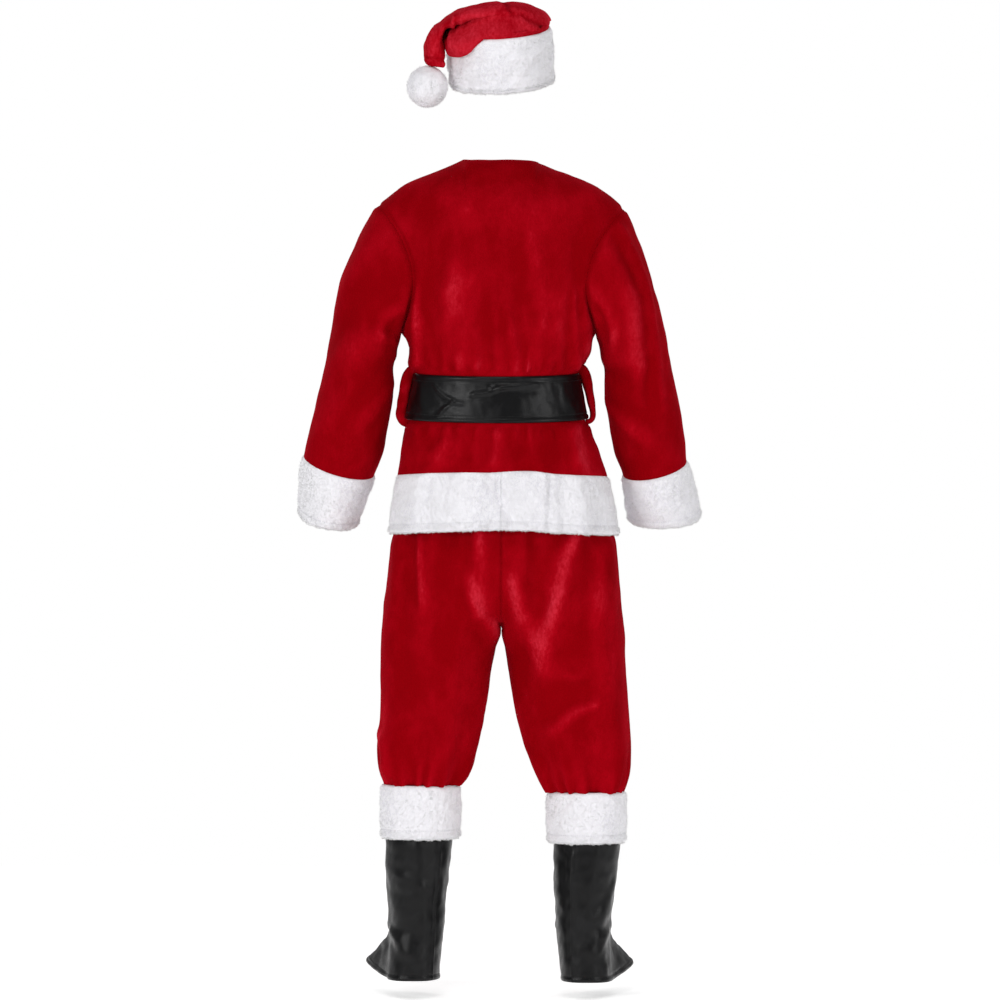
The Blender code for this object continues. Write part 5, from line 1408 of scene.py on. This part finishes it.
class SUIT_OT_trousers(Operator):
    """Make the trousers' four panels and their waistband"""

    bl_idname = "suit.trousers"
    bl_label = "Trousers"

    def execute(self, context):
        for side in SIDES:
            for face, place in ((1, "back"), (-1, "front")):
                crotch = LEG_ROWS_BELOW - 1
                grid = relaxed(leg_panel(side, face), crotch - 4, crotch + 5, 40)
                normals = outward(grid, False)
                normals[:, -1, 1] = 0
                normals[:crotch, 0, 1] = 0
                normals[crotch:, 0, 0] = 0
                normals[crotch, 0] = (0, 0, -1)
                normals = unit(normals)
                table = SEAT_CREASES if face > 0 else LEG_FRONT_CREASES
                rise = creases(grid[..., 0], grid[..., 2], table) * sizes().crease_depth
                rise = rise + 0.0018 * ripple(grid, 0.14, 15) + 0.0007 * ripple(grid, 0.045, 16)
                fade = edge_fade(grid, 0.016, first_row=False)
                rise = rise * fade + cuff_gathers(grid, side, face) * edge_fade(grid, 0.008, False, False)
                rise = rise + sewn_valley(grid, 0.0009, 0.003, first_row=False, last_row=False)
                outer = grid + normals * rise[..., None]
                # Painted highlights along the seat's sheen lines, with painted light and shade from the
                # creases
                sheen = creases(grid[..., 0], grid[..., 2], SEAT_PAINTED_SHEEN) if face > 0 else 0.0
                nap = wall_nap(nap_with_painted_light(rise, grid, 17, sheen))
                points, groups = wall_of(outer, outer - normals * sizes().plush_wall, False)
                name = "trouser_" + place + "_" + side
                piece = add_piece(name + "_plush", points, groups, plush(), [name], nap)
                dressed(piece)
        self.add_waistband()
        return {"FINISHED"}

    def add_waistband(self):
        turns = np.linspace(0, TAU, 240, endpoint=False)
        cosine, sine = np.cos(turns), np.sin(turns)
        left, right = (dict(zip(LEG_COLUMNS, LEGS[side][-1])) for side in SIDES)
        x = np.where(cosine > 0, left["outer"], right["outer"]) * cosine
        deep = np.where(sine > 0, left["back"], left["front"])
        y = deep * np.sign(sine) * np.abs(sine) ** WAISTBAND_ROUNDING
        share = np.linspace(0, 1, 14)[:, None]
        height = TROUSER_TOP + SEAM + share * (WAISTBAND_HEIGHT - SEAM)
        gather = 1 - 0.008 * (1 + np.sin(46 * turns + 2 * np.sin(5 * turns))) * np.sin(share * math.pi)
        outer = np.stack([x * gather, y * gather, height + 0 * turns], axis=-1)
        inner = outer - outward(outer, True) * WAISTBAND_WALL
        points, groups = wall_of(outer, inner, True)
        nap = np.full(len(points), 0.15)
        piece = add_piece("waistband_plush", points, groups, plush(), ["waistband"], nap)
        dressed(piece)


# Belt

def waist_points(turn, height, out):
    """The waist at an angle from the centre front, turning to the right side first."""
    face = np.where(np.cos(turn) > 0, -1.0, 1.0)
    return body_points(height, -np.sin(turn), face, out)


class SUIT_OT_belt(Operator):
    """Make the vinyl strap, whose end laps over its start at the front, and the two loops"""

    bl_idname = "suit.belt"
    bl_label = "Belt"

    def execute(self, context):
        start, end = math.radians(BELT_START), TAU + math.radians(BELT_LAP_END)
        turn = np.linspace(start, end, BELT_COUNT)[None, :]
        share = np.linspace(0, 1, BELT_ROWS)[:, None]
        shape = (BELT_ROWS, BELT_COUNT)
        low = waist_points(turn, np.full((1, BELT_COUNT), BELT_BOTTOM), 0.0)
        high = waist_points(turn, np.full((1, BELT_COUNT), BELT_TOP), 0.0)
        base = high + share[..., None] * (low - high)
        base[..., 2] = BELT_TOP + share * (BELT_BOTTOM - BELT_TOP)
        way = waist_points(turn, np.full((1, BELT_COUNT), BELT_BOTTOM), 1.0) - low
        lap = np.clip((turn - TAU - start + 0.12) / 0.16, 0, 1) * (BELT_PIPE + BELT_MARGIN)
        width = BELT_TOP - BELT_BOTTOM
        from_edge = np.minimum(share, 1 - share) * width
        pipe = np.exp(-(((from_edge - PIPE_WIDTH * 0.45) / (PIPE_WIDTH * 0.42)) ** 4))
        groove = np.exp(-(((from_edge - PIPE_WIDTH * 1.05) / 0.0012) ** 2))
        thick = BELT_WALL + (BELT_PIPE - BELT_WALL) * pipe - 0.0004 * groove
        place = base + 0 * way
        inside = np.clip((from_edge - PIPE_WIDTH) / 0.006, 0, 1)
        soft = 0.0006 * ripple(place, 0.06, 31) + 0.0002 * ripple(place, 0.02, 32)
        x, height = place[..., 0], place[..., 2]
        soft = soft + creases(x, height, BELT_CREASES) * (place[..., 1] > 0)
        soft = np.maximum(soft, -0.0008)
        loose = np.where(np.sin(turn) > 0, BELT_LOOSE["right"], BELT_LOOSE["left"])
        loose = loose * share * np.abs(np.sin(turn)) ** 6
        out = thick + soft * inside + lap + BELT_MARGIN + loose
        outer = base + way * np.broadcast_to(out, shape)[..., None]
        inner = base + way * np.broadcast_to(lap + BELT_MARGIN + loose, shape)[..., None]
        points, groups = wall_of(outer, inner, False)
        strap = add_piece("belt_strap_vinyl", sagged(points), groups, vinyl(), ["belt_strap"])
        rows = [outer[row] for row in (4, BELT_ROWS - 5)]
        ups = [np.broadcast_to(way[0], rows[0].shape)] * 2
        parts = [stitches(line + up * 0.0003, up, 0.0038, 5) for line, up in zip(rows, ups)]
        sewn = joined(parts)
        sewing = add_piece(
            "belt_strap_stitches", sagged(sewn[0]), [sewn[1]], black_thread(),
        )
        dressed(strap)
        for side in SIDES:
            self.add_loop(side)
        return {"FINISHED"}

    def add_loop(self, side):
        """A padded strip of plush: rounded sections along an arch whose two ends turn into the
        jacket, where they are sewn in."""
        size = LOOPS[side]
        stations = 84
        steps = np.linspace(0, len(LOOP_ARCH) - 1, stations)
        arch = smooth_curve(np.arange(len(LOOP_ARCH), dtype=float), np.array(LOOP_ARCH), steps)
        share, out = arch[:, :1], arch[:, 1:] * size["out"]
        top, bottom = np.array(size["top"]), np.array(size["bottom"])
        path = top + share * (bottom - top) + out * np.array([1.0, 0.0])
        along = unit(np.gradient(path, axis=0))
        aside = np.stack([-along[:, 1], along[:, 0]], axis=1)
        turn = np.linspace(0, TAU, 40, endpoint=False)
        uneven = 1 + 0.06 * ripple(np.concatenate([path, out], axis=1), 0.02, 6)[:, None]
        half = size["half"][0] + np.clip(share, 0, 1) * (size["half"][1] - size["half"][0])
        lift = half * uneven * np.sign(np.sin(turn)) * np.abs(np.sin(turn)) ** 0.7
        across = LOOP_HALF_WIDTH * np.sign(np.cos(turn)) * np.abs(np.cos(turn)) ** 0.6
        x = path[:, :1] + aside[:, :1] * lift
        z = path[:, 1:] + aside[:, 1:] * lift
        y = np.broadcast_to(across, x.shape)
        sections = np.stack([x if side == "left" else -x, y, z], axis=-1)
        rows, count = sections.shape[:2]
        groups = tube_faces(rows, count)
        nap = np.full(rows * count, 0.20) + 0.2 * ripple(sections.reshape(-1, 3), 0.03, 3)
        name = "belt_loop_" + side
        points = sections.reshape(-1, 3)
        piece = add_piece(name + "_plush", points, groups, plush(), [name], nap)


BELT_CREASES = (
    (0.120, 1.143, 0.090, 1.119, 0.0035, 0.0024, 0.003),
    (0.088, 1.113, 0.112, 1.090, 0.0035, 0.0024, 0.002),
    (0.102, 1.116, 0.074, 1.113, 0.0030, 0.0016, 0.000),
    (0.146, 1.146, 0.138, 1.100, 0.0070, 0.0016, 0.003),
    (0.048, 1.130, 0.002, 1.141, 0.0050, 0.0032, 0.002),
    (0.000, 1.143, -0.056, 1.148, 0.0050, 0.0038, 0.001),
    (0.020, 1.146, 0.008, 1.128, 0.0040, -0.0012, 0.000),
    (-0.030, 1.126, -0.036, 1.096, 0.0120, 0.0010, 0.000),
    (-0.112, 1.140, -0.130, 1.100, 0.0070, 0.0014, 0.004),
)


def add_buckle_piece(name, sections, groups):
    """One brass piece in the place of its node."""
    add_piece(name + "_brass", sections.reshape(-1, 3), groups, brass(), [name])


class SUIT_OT_buckle(Operator):
    """Make the buckle's frame and its prong"""

    bl_idname = "suit.buckle"
    bl_label = "Buckle"

    def execute(self, context):
        base = BELT_PIPE * 2 + BELT_MARGIN * 3 + BUCKLE_CLEAR
        middle = (BELT_TOP + BELT_BOTTOM) / 2
        self.add_frame(base, middle)
        self.add_prong(base, middle)
        return {"FINISHED"}

    def on_front(self, x, height, out):
        """The belt's front at a place across it, moved out."""
        table = columns(BODY_COLUMNS, BODY)
        level = np.clip(height, BELT_BOTTOM, BELT_TOP)
        left, right = (np.interp(level, table["height"], table[side]) for side in SIDES)
        half = np.where(x > 0, left, right)
        depth = np.interp(level, table["height"], table["front"])
        return -(depth * np.sqrt(np.clip(1 - (x / half) ** 2, 0, 1)) ** SIDE_ROUNDING + out)

    def add_frame(self, base, middle):
        """A rounded bar, its section an oval, carried round a squarish oval with round corners."""
        turn = np.linspace(0, TAU, 128, endpoint=False)[:, None]
        round_it = np.linspace(0, TAU, 20, endpoint=False)[None, :]
        across = np.sign(np.cos(turn)) * np.abs(np.cos(turn)) ** 0.34
        upward = np.sign(np.sin(turn)) * np.abs(np.sin(turn)) ** 0.34
        inset = BUCKLE_BAR / 2 * (1 - np.sign(np.cos(round_it)) * np.abs(np.cos(round_it)) ** 0.7)
        lift = BUCKLE_WALL / 2 * (1 + np.sign(np.sin(round_it)) * np.abs(np.sin(round_it)) ** 0.7)
        x = across * (BUCKLE_HALF_WIDTH - inset)
        z = middle + upward * (BUCKLE_HALF_HEIGHT - inset)
        sections = np.stack([x, self.on_front(x, z, base + lift), z], axis=-1)
        groups = [grid_faces(*sections.shape[:2], True, True)]
        add_buckle_piece("buckle_frame", sections, groups)

    def add_prong(self, base, middle):
        """A round bar that tapers to its tip and steps up onto the frame."""
        x = np.linspace(-BUCKLE_HALF_WIDTH + BUCKLE_BAR + 0.001, BUCKLE_HALF_WIDTH - 0.002, 60)[:, None]
        turn = np.linspace(0, TAU, 18, endpoint=False)[None, :]
        step = np.clip((x - (BUCKLE_HALF_WIDTH - BUCKLE_BAR - 0.009)) / 0.006, 0, 1)
        end = np.sqrt(np.clip(1 - ((x - x.mean()) / (np.ptp(x) / 2)) ** 14, 0, 1))
        lift = SEAM + BUCKLE_WALL * step + PRONG_WALL / 2 * (1 + np.sin(turn) * end)
        z = middle + PRONG_HALF_WIDTH * np.cos(turn) * end
        centre = np.full_like(x, middle)
        y = self.on_front(x, centre, base) - lift
        sections = np.stack([x + 0 * turn, y, z], axis=-1)
        rows, count = sections.shape[:2]
        groups = tube_faces(rows, count)
        add_buckle_piece("buckle_prong", sections, groups)


# Boot covers

BOOT_CREASES = {
    "left": (
        (112, 0.200, 66, 0.172, 0.014, 0.0018, 0.003),
        (58, 0.226, 92, 0.212, 0.010, 0.0014, 0.002),
        (20, 0.120, 75, 0.085, 0.012, 0.0030, 0.004),
        (350, 0.130, 320, 0.095, 0.011, 0.0050, -0.004),
        (250, 0.150, 300, 0.115, 0.012, 0.0045, 0.004),
        (200, 0.130, 240, 0.095, 0.010, 0.0040, 0.003),
        (88, 0.290, 100, 0.120, 0.010, 0.0016, 0.004),
        (285, 0.230, 300, 0.160, 0.012, 0.0025, 0.003),
    ),
    "right": (
        (120, 0.250, 105, 0.170, 0.010, 0.0018, 0.002),
        (70, 0.280, 84, 0.110, 0.011, 0.0018, 0.003),
        (30, 0.190, 50, 0.130, 0.014, 0.0030, 0.005),
        (20, 0.120, 70, 0.090, 0.012, 0.0030, 0.004),
        (350, 0.130, 320, 0.095, 0.011, 0.0050, -0.004),
        (250, 0.150, 300, 0.115, 0.012, 0.0045, 0.004),
        (200, 0.130, 240, 0.095, 0.010, 0.0040, 0.003),
        (285, 0.230, 300, 0.160, 0.012, 0.0025, 0.003),
    ),
}
BOOT_SEAM_ANGLE = {"left": 128.0, "right": 114.0}
BOOT_RADIUS, BOOT_SOFTNESS = 0.055, 0.014
BOOT_HIDDEN_FROM, BOOT_RISE_MOST = 0.290, 0.0045
BOOT_STITCHED_FROM, BOOT_STITCH_PITCH = 30, 0.0036


def boot_rings(side):
    """Ovals whose front half reaches out over the foot and turns outwards with it."""
    table = columns(BOOT_COLUMNS, BOOT)
    height = np.linspace(BOOT[0][0], BOOT[-1][0], BOOT_ROWS)
    read = {
        name: soft_read(table["height"], table[name], height, BOOT_SOFTNESS)[:, None]
        for name in BOOT_COLUMNS[1:]
    }
    turns = np.linspace(0, TAU, BOOT_COUNT, endpoint=False)
    sign = 1 if side == "left" else -1
    y = np.where(np.sin(turns) > 0, read["heel"], read["toe"]) * np.sin(turns)
    is_foot = np.clip((read["toe"] - read["heel"]) / TOE_FULL, 0, 1)
    yaw = math.radians(TOE_TURN) * is_foot
    ahead = np.clip(-y, 0, None)
    across = np.sign(np.cos(turns)) * np.abs(np.cos(turns)) ** (1 - TOE_BOXINESS * is_foot)
    x = read[side] + read["half"] * across + np.sin(yaw) * ahead
    z = height[:, None] + BOOT_DROP[side] + read["tilt"] * ahead / read["toe"]
    return np.stack([sign * x, y * np.where(y < 0, np.cos(yaw), 1), z], axis=2), turns, height


class SUIT_OT_boot_covers(Operator):
    """Make both vinyl boot covers, open below, with a sewn seam behind and a turned hem"""

    bl_idname = "suit.boot_covers"
    bl_label = "Boot covers"

    def execute(self, context):
        for side in SIDES:
            grid, turns, height = boot_rings(side)
            normals = outward(grid, True)
            degrees = np.degrees(turns)[None, :]
            scale = math.radians(1) * BOOT_RADIUS
            rise = 0.0011 * ripple(grid, 0.06, 51) + 0.0005 * ripple(grid, 0.024, 52)
            level = height[:, None] + 0 * degrees
            for from_angle, from_h, to_angle, to_h, width, up, bow in BOOT_CREASES[side]:
                middle = (from_angle + to_angle) / 2
                across = ((degrees - middle + 180) % 360 - 180) * scale
                start, stop = (from_angle - middle) * scale, (to_angle - middle) * scale
                rise = rise + creases(across, level, [(start, from_h, stop, to_h, width, up, bow)])
            seam_gap = ((degrees - BOOT_SEAM_ANGLE[side] + 180) % 360 - 180) * scale
            rise = rise + 0.0014 * np.exp(-(((seam_gap - 0.0022) / 0.0020) ** 2))
            rise = rise - 0.0012 * np.exp(-((seam_gap / 0.0009) ** 2))
            from_hem = (level - BOOT[-1][0]) / 0.001
            turned_up = 0.0012 * np.exp(-(((from_hem - 3.5) / 3.2) ** 4))
            rise = rise + turned_up - 0.0009 * np.exp(-(((from_hem - 8) / 1.2) ** 2))
            rise = rise * np.clip((BOOT[0][0] - level) / 0.02, 0, 1) * np.clip((level - 0.02) / 0.02, 0.4, 1)
            hidden = np.clip((level - BOOT_HIDDEN_FROM) / 0.02, 0, 1)
            rise = np.minimum(rise, BOOT_RISE_MOST) * (1 - hidden) - 0.0004 * hidden
            outer = grid + normals * rise[..., None]
            points, groups = wall_of(outer, outer - normals * sizes().vinyl_wall, True)
            name = "boot_cover_" + side
            piece = add_piece(name + "_vinyl", points, groups, vinyl(), [name])
            seam = int(np.argmin(np.abs(seam_gap[0] - 0.0035)))
            row = int(np.argmin(np.abs(from_hem[:, 0] - 8)))
            down_seam = slice(BOOT_STITCHED_FROM, None), seam
            parts = [
                stitches(outer[place] + normals[place] * 0.0003, normals[place], BOOT_STITCH_PITCH, seed)
                for place, seed in ((down_seam, 5), (row, 6))
            ]
            sewn = joined(parts)
            sewing = add_piece(name + "_stitches", sewn[0], [sewn[1]], black_thread())
            dressed(piece)
        return {"FINISHED"}


# Hat

def hat_place(x, y, up):
    """Turn a point of the upright hat back and sideways as it sits on the head."""
    tilt, roll = math.radians(HAT_TILT), math.radians(HAT_ROLL)
    turned_y = y * math.cos(tilt) + up * math.sin(tilt)
    turned_z = -y * math.sin(tilt) + up * math.cos(tilt)
    place_x = x * math.cos(roll) + turned_z * math.sin(roll)
    place_z = -x * math.sin(roll) + turned_z * math.cos(roll)
    return np.stack([HAT_CENTRE[0] + place_x, HAT_CENTRE[1] + turned_y, HAT_CENTRE[2] + place_z], axis=-1)


def hat_crown(turns):
    """Lip rows that sag over the band at the left, then rings down to the tail's tip, with a
    smooth curve from row to row."""
    degrees = (np.degrees(turns) + 180) % 360 - 180
    sag = sum(most * np.exp(-(np.abs((degrees - at) / width) ** power)) for at, width, most, power in SAGS)
    start, deep = BAND_HALF_WIDTH - BAND_WALL / 2, BAND_HALF_DEPTH - BAND_WALL / 2
    rows = []
    for plain_out, plain_up, lip_out, lip_up in CROWN_LIP:
        out = plain_out + (lip_out - plain_out) * sag
        up = BAND_HEIGHT / 2 + SEAM + plain_up + (lip_up - plain_up) * sag
        rows.append(hat_place((start + out) * np.cos(turns), (deep + out) * np.sin(turns), up))
    for upper_x, upper_h, lower_x, lower_h, depth, y, lower_y in CROWN:
        across = (1 - np.cos(turns)) / 2
        x = lower_x + (upper_x - lower_x) * across
        z = lower_h + (upper_h - lower_h) * across
        rows.append(np.stack([x, y + lower_y * (1 - across) + depth * np.sin(turns), z], axis=1))
    ball = np.array(POMPOM_PLACE)
    end = unit(rows[-1].mean(axis=0) - ball)
    rows.append(np.broadcast_to(ball + end * (POMPOM_RADIUS + 0.0030), rows[-1].shape))
    rows = np.array(rows)
    known = np.arange(len(rows), dtype=float)
    return smooth_curve(known, rows, np.linspace(0, len(rows) - 1.03, CROWN_ROWS))


HAT_CREASES = (
    (0.086, 1.815, 0.092, 1.768, 0.005, 0.0045, 0.003),
    (0.074, 1.806, 0.080, 1.765, 0.010, 0.0030, 0.000),
    (-0.010, 1.846, -0.070, 1.806, 0.007, -0.0050, 0.006),
    (-0.022, 1.836, -0.066, 1.800, 0.006, 0.0040, 0.004),
    (0.138, 1.746, 0.110, 1.742, 0.003, -0.0025, 0.001),
    (0.122, 1.806, 0.130, 1.762, 0.007, 0.0030, 0.003),
)


class SUIT_OT_hat(Operator):
    """Make the hat: its plush crown with the tail, its fur band and its pompom"""

    bl_idname = "suit.hat"
    bl_label = "Hat"

    def execute(self, context):
        turns = np.linspace(0, TAU, HAT_COUNT, endpoint=False)
        grid = hat_crown(turns)
        normals = outward(grid, True)
        up = unit(hat_place(0.0, 0.0, 1.0) - hat_place(0.0, 0.0, 0.0))
        normals[0] = unit(normals[0] - np.sum(normals[0] * up, axis=1, keepdims=True) * up)
        rise = creases(grid[..., 0], grid[..., 2], HAT_CREASES) * sizes().crease_depth
        rise = rise + 0.0014 * ripple(grid, 0.06, 71) + 0.0006 * ripple(grid, 0.028, 72)
        rise = rise * edge_fade(grid, 0.010, columns_too=False)
        outer = grid + normals * rise[..., None]
        reach = np.linalg.norm(grid - grid.mean(axis=1, keepdims=True), axis=2, keepdims=True)
        inner = outer - normals * np.minimum(sizes().plush_wall, reach * 0.4)
        points, groups = wall_of(outer, inner, True)
        # Painted sheen: the whole crown's colour is lifted towards the lighter reds
        nap = wall_nap(np.clip(nap_with_painted_light(rise, grid, 19) + 0.40, 0, 1))
        crown = add_piece("hat_crown_plush", points, groups, plush(), ["hat_crown"], nap)
        dressed(crown)
        turns = np.linspace(0, TAU, 220, endpoint=False)
        share = np.linspace(0.5, -0.5, 40)[:, None]
        wide = BAND_HALF_WIDTH + 0 * share
        deep = BAND_HALF_DEPTH + 0 * share
        skin = hat_place(wide * np.cos(turns), deep * np.sin(turns), share * BAND_HEIGHT + 0 * turns)
        fur_band("hat_band", skin, True, 0.97, BAND_WALL, 7000, 140, 0.0018)
        self.add_pompom()
        return {"FINISHED"}

    def add_pompom(self):
        """A ball with a slightly uneven skin, whose tufts lean out and down all over it."""
        up = np.linspace(0.02, math.pi - 0.02, 40)[:, None]
        turn = np.linspace(0, TAU, 72, endpoint=False)[None, :]
        ball = [np.sin(up) * np.cos(turn), np.sin(up) * np.sin(turn), np.cos(up) + 0 * turn]
        ball = np.stack(ball, axis=-1)
        radius = POMPOM_RADIUS * POMPOM_BALL_SHARE
        skin = radius * (1 + 0.025 * ripple(ball, 0.5, 90))[..., None] * ball + np.array(POMPOM_PLACE)
        rows, count = skin.shape[:2]
        groups = tube_faces(rows, count)
        piece = add_piece("pompom_ball", skin.reshape(-1, 3), groups, fur(), ["pompom"])
        chance = np.random.default_rng(91)
        ways = unit(chance.normal(size=(POMPOM_TUFTS, 3)))
        roots = np.array(POMPOM_PLACE) + ways * radius * 0.97
        swirl = np.stack([ripple(ways, 0.6, seed) for seed in (93, 94, 95)], axis=1)
        lean = swirl - np.array((0, 0, POMPOM_DROOP))
        made = tufts(roots, ways, sizes().pompom_pile, lean, 92, 0.0010)
        add_piece("pompom_pile", made[0], [made[1]], loose_fur())


# Stage

class SUIT_OT_stage(Operator):
    """Add the pale floor, the soft lights and the camera behind the suit"""

    bl_idname = "suit.stage"
    bl_label = "Stage"

    def execute(self, context):
        self.add_floor()
        self.add_sky(context)
        self.add_lights(context)
        self.add_camera(context)
        context.scene.view_settings.view_transform = "Standard"
        return {"FINISHED"}

    def add_floor(self):
        """A flat square 6 m across, level with the ground."""
        half, level = 3.0, -sizes().hold_height
        corners = [(-half, -half, level), (half, -half, level), (half, half, level), (-half, half, level)]
        mesh = bpy.data.meshes.new("floor")
        mesh.from_pydata(corners, [], [(0, 1, 2, 3)])
        floor = bpy.data.objects.new("floor", mesh)
        bpy.context.scene.collection.objects.link(floor)
        finish = bpy.data.materials.new("Pale floor")
        finish.use_nodes = True
        tree = finish.node_tree
        shader = tree.nodes["Principled BSDF"]
        place = tree.nodes.new("ShaderNodeTexCoord")
        cloudy = noise(tree, place.outputs["Object"], 3, 3)
        base = tuple(colours().floor)
        paler = tuple(min(1.0, channel * 1.02) for channel in base)
        tree.links.new(mixed(tree, cloudy, (*base, 1.0), (*paler, 1.0)), shader.inputs["Base Color"])
        shader.inputs["Roughness"].default_value = 0.8
        shader.inputs["Emission Color"].default_value = (1.0, 1.0, 1.0, 1.0)
        shader.inputs["Emission Strength"].default_value = 0.50
        mesh.materials.append(finish)

    def add_sky(self, context):
        world = bpy.data.worlds.new("Studio")
        context.scene.world = world
        world.use_nodes = True
        tree = world.node_tree
        lit, seen = tree.nodes["Background"], tree.nodes.new("ShaderNodeBackground")
        lit.inputs["Color"].default_value = (1.0, 1.0, 1.0, 1.0)
        lit.inputs["Strength"].default_value = 0.32
        seen.inputs["Color"].default_value = (1.0, 1.0, 1.0, 1.0)
        seen.inputs["Strength"].default_value = 1.0
        path, mix = tree.nodes.new("ShaderNodeLightPath"), tree.nodes.new("ShaderNodeMixShader")
        tree.links.new(path.outputs["Is Camera Ray"], mix.inputs[0])
        tree.links.new(lit.outputs[0], mix.inputs[1])
        tree.links.new(seen.outputs[0], mix.inputs[2])
        tree.links.new(mix.outputs[0], tree.nodes["World Output"].inputs["Surface"])

    def add_lights(self, context):
        """Large soft lights: place, size and strength of each, all aimed at the suit's middle."""
        lights = (
            ("key_left", (2.4, 3.4, 0.3), 1.2, 52),
            ("key_right", (-2.8, 3.0, -0.2), 1.2, 32),
            ("front_left", (2.4, -3.2, 1.2), 1.3, 45),
            ("front_right", (-2.6, -3.0, 1.4), 1.3, 36),
            ("top", (0.1, 2.3, 2.4), 1.2, 24),
        )
        for name, place, size, power in lights:
            light = bpy.data.lights.new(name, "AREA")
            light.shape, light.size, light.energy = "DISK", size, power
            thing = bpy.data.objects.new(name, light)
            context.scene.collection.objects.link(thing)
            thing.location = place
            aim = np.array((0.0, 0.0, -0.6)) - np.array(place)
            yaw = math.atan2(aim[1], aim[0]) - math.pi / 2
            pitch = math.atan2(aim[2], math.hypot(aim[0], aim[1])) + math.pi / 2
            thing.rotation_euler = (pitch, 0.0, yaw)

    def add_camera(self, context):
        camera = bpy.data.cameras.new("camera")
        camera.lens, camera.sensor_width = 164.07, 36.0
        thing = bpy.data.objects.new("camera", camera)
        context.scene.collection.objects.link(thing)
        thing.location = (0.0019, 8.5, 0.925 - sizes().hold_height)
        thing.rotation_euler = (math.radians(90), 0.0, math.radians(180))
        context.scene.camera = thing


OPERATORS = (
    SUIT_OT_jacket,
    SUIT_OT_sleeves,
    SUIT_OT_trousers,
    SUIT_OT_hem_trim,
    SUIT_OT_sleeve_cuffs,
    SUIT_OT_leg_cuffs,
    SUIT_OT_belt,
    SUIT_OT_buckle,
    SUIT_OT_boot_covers,
    SUIT_OT_hat,
    SUIT_OT_stage,
)


class SUIT_PT_panel(Panel):
    """Lists the suit's sizes, colours and pieces"""

    bl_idname = "SUIT_PT_panel"
    bl_label = "Suit"
    bl_space_type = "VIEW_3D"
    bl_region_type = "UI"
    bl_category = "Suit"

    def draw(self, context):
        layout = self.layout
        for group in (context.scene.suit_sizes, context.scene.suit_colours):
            box = layout.box()
            for name in group.bl_rna.properties.keys():
                if name not in ("rna_type", "name"):
                    box.prop(group, name)
        for operator in OPERATORS:
            layout.operator(operator.bl_idname)


CLASSES = (SuitSizes, SuitColours, *OPERATORS, SUIT_PT_panel)


def register():
    for kind in CLASSES:
        bpy.utils.register_class(kind)
    bpy.types.Scene.suit_sizes = PointerProperty(type=SuitSizes)
    bpy.types.Scene.suit_colours = PointerProperty(type=SuitColours)


def unregister():
    del bpy.types.Scene.suit_colours
    del bpy.types.Scene.suit_sizes
    for kind in reversed(CLASSES):
        bpy.utils.unregister_class(kind)


def main():
    register()
    bpy.ops.suit.jacket()
    bpy.ops.suit.sleeves()
    bpy.ops.suit.trousers()
    bpy.ops.suit.hem_trim()
    bpy.ops.suit.sleeve_cuffs()
    bpy.ops.suit.leg_cuffs()
    bpy.ops.suit.belt()
    bpy.ops.suit.buckle()
    bpy.ops.suit.boot_covers()
    bpy.ops.suit.hat()
    bpy.ops.suit.stage()


if __name__ == "__main__":
    main()
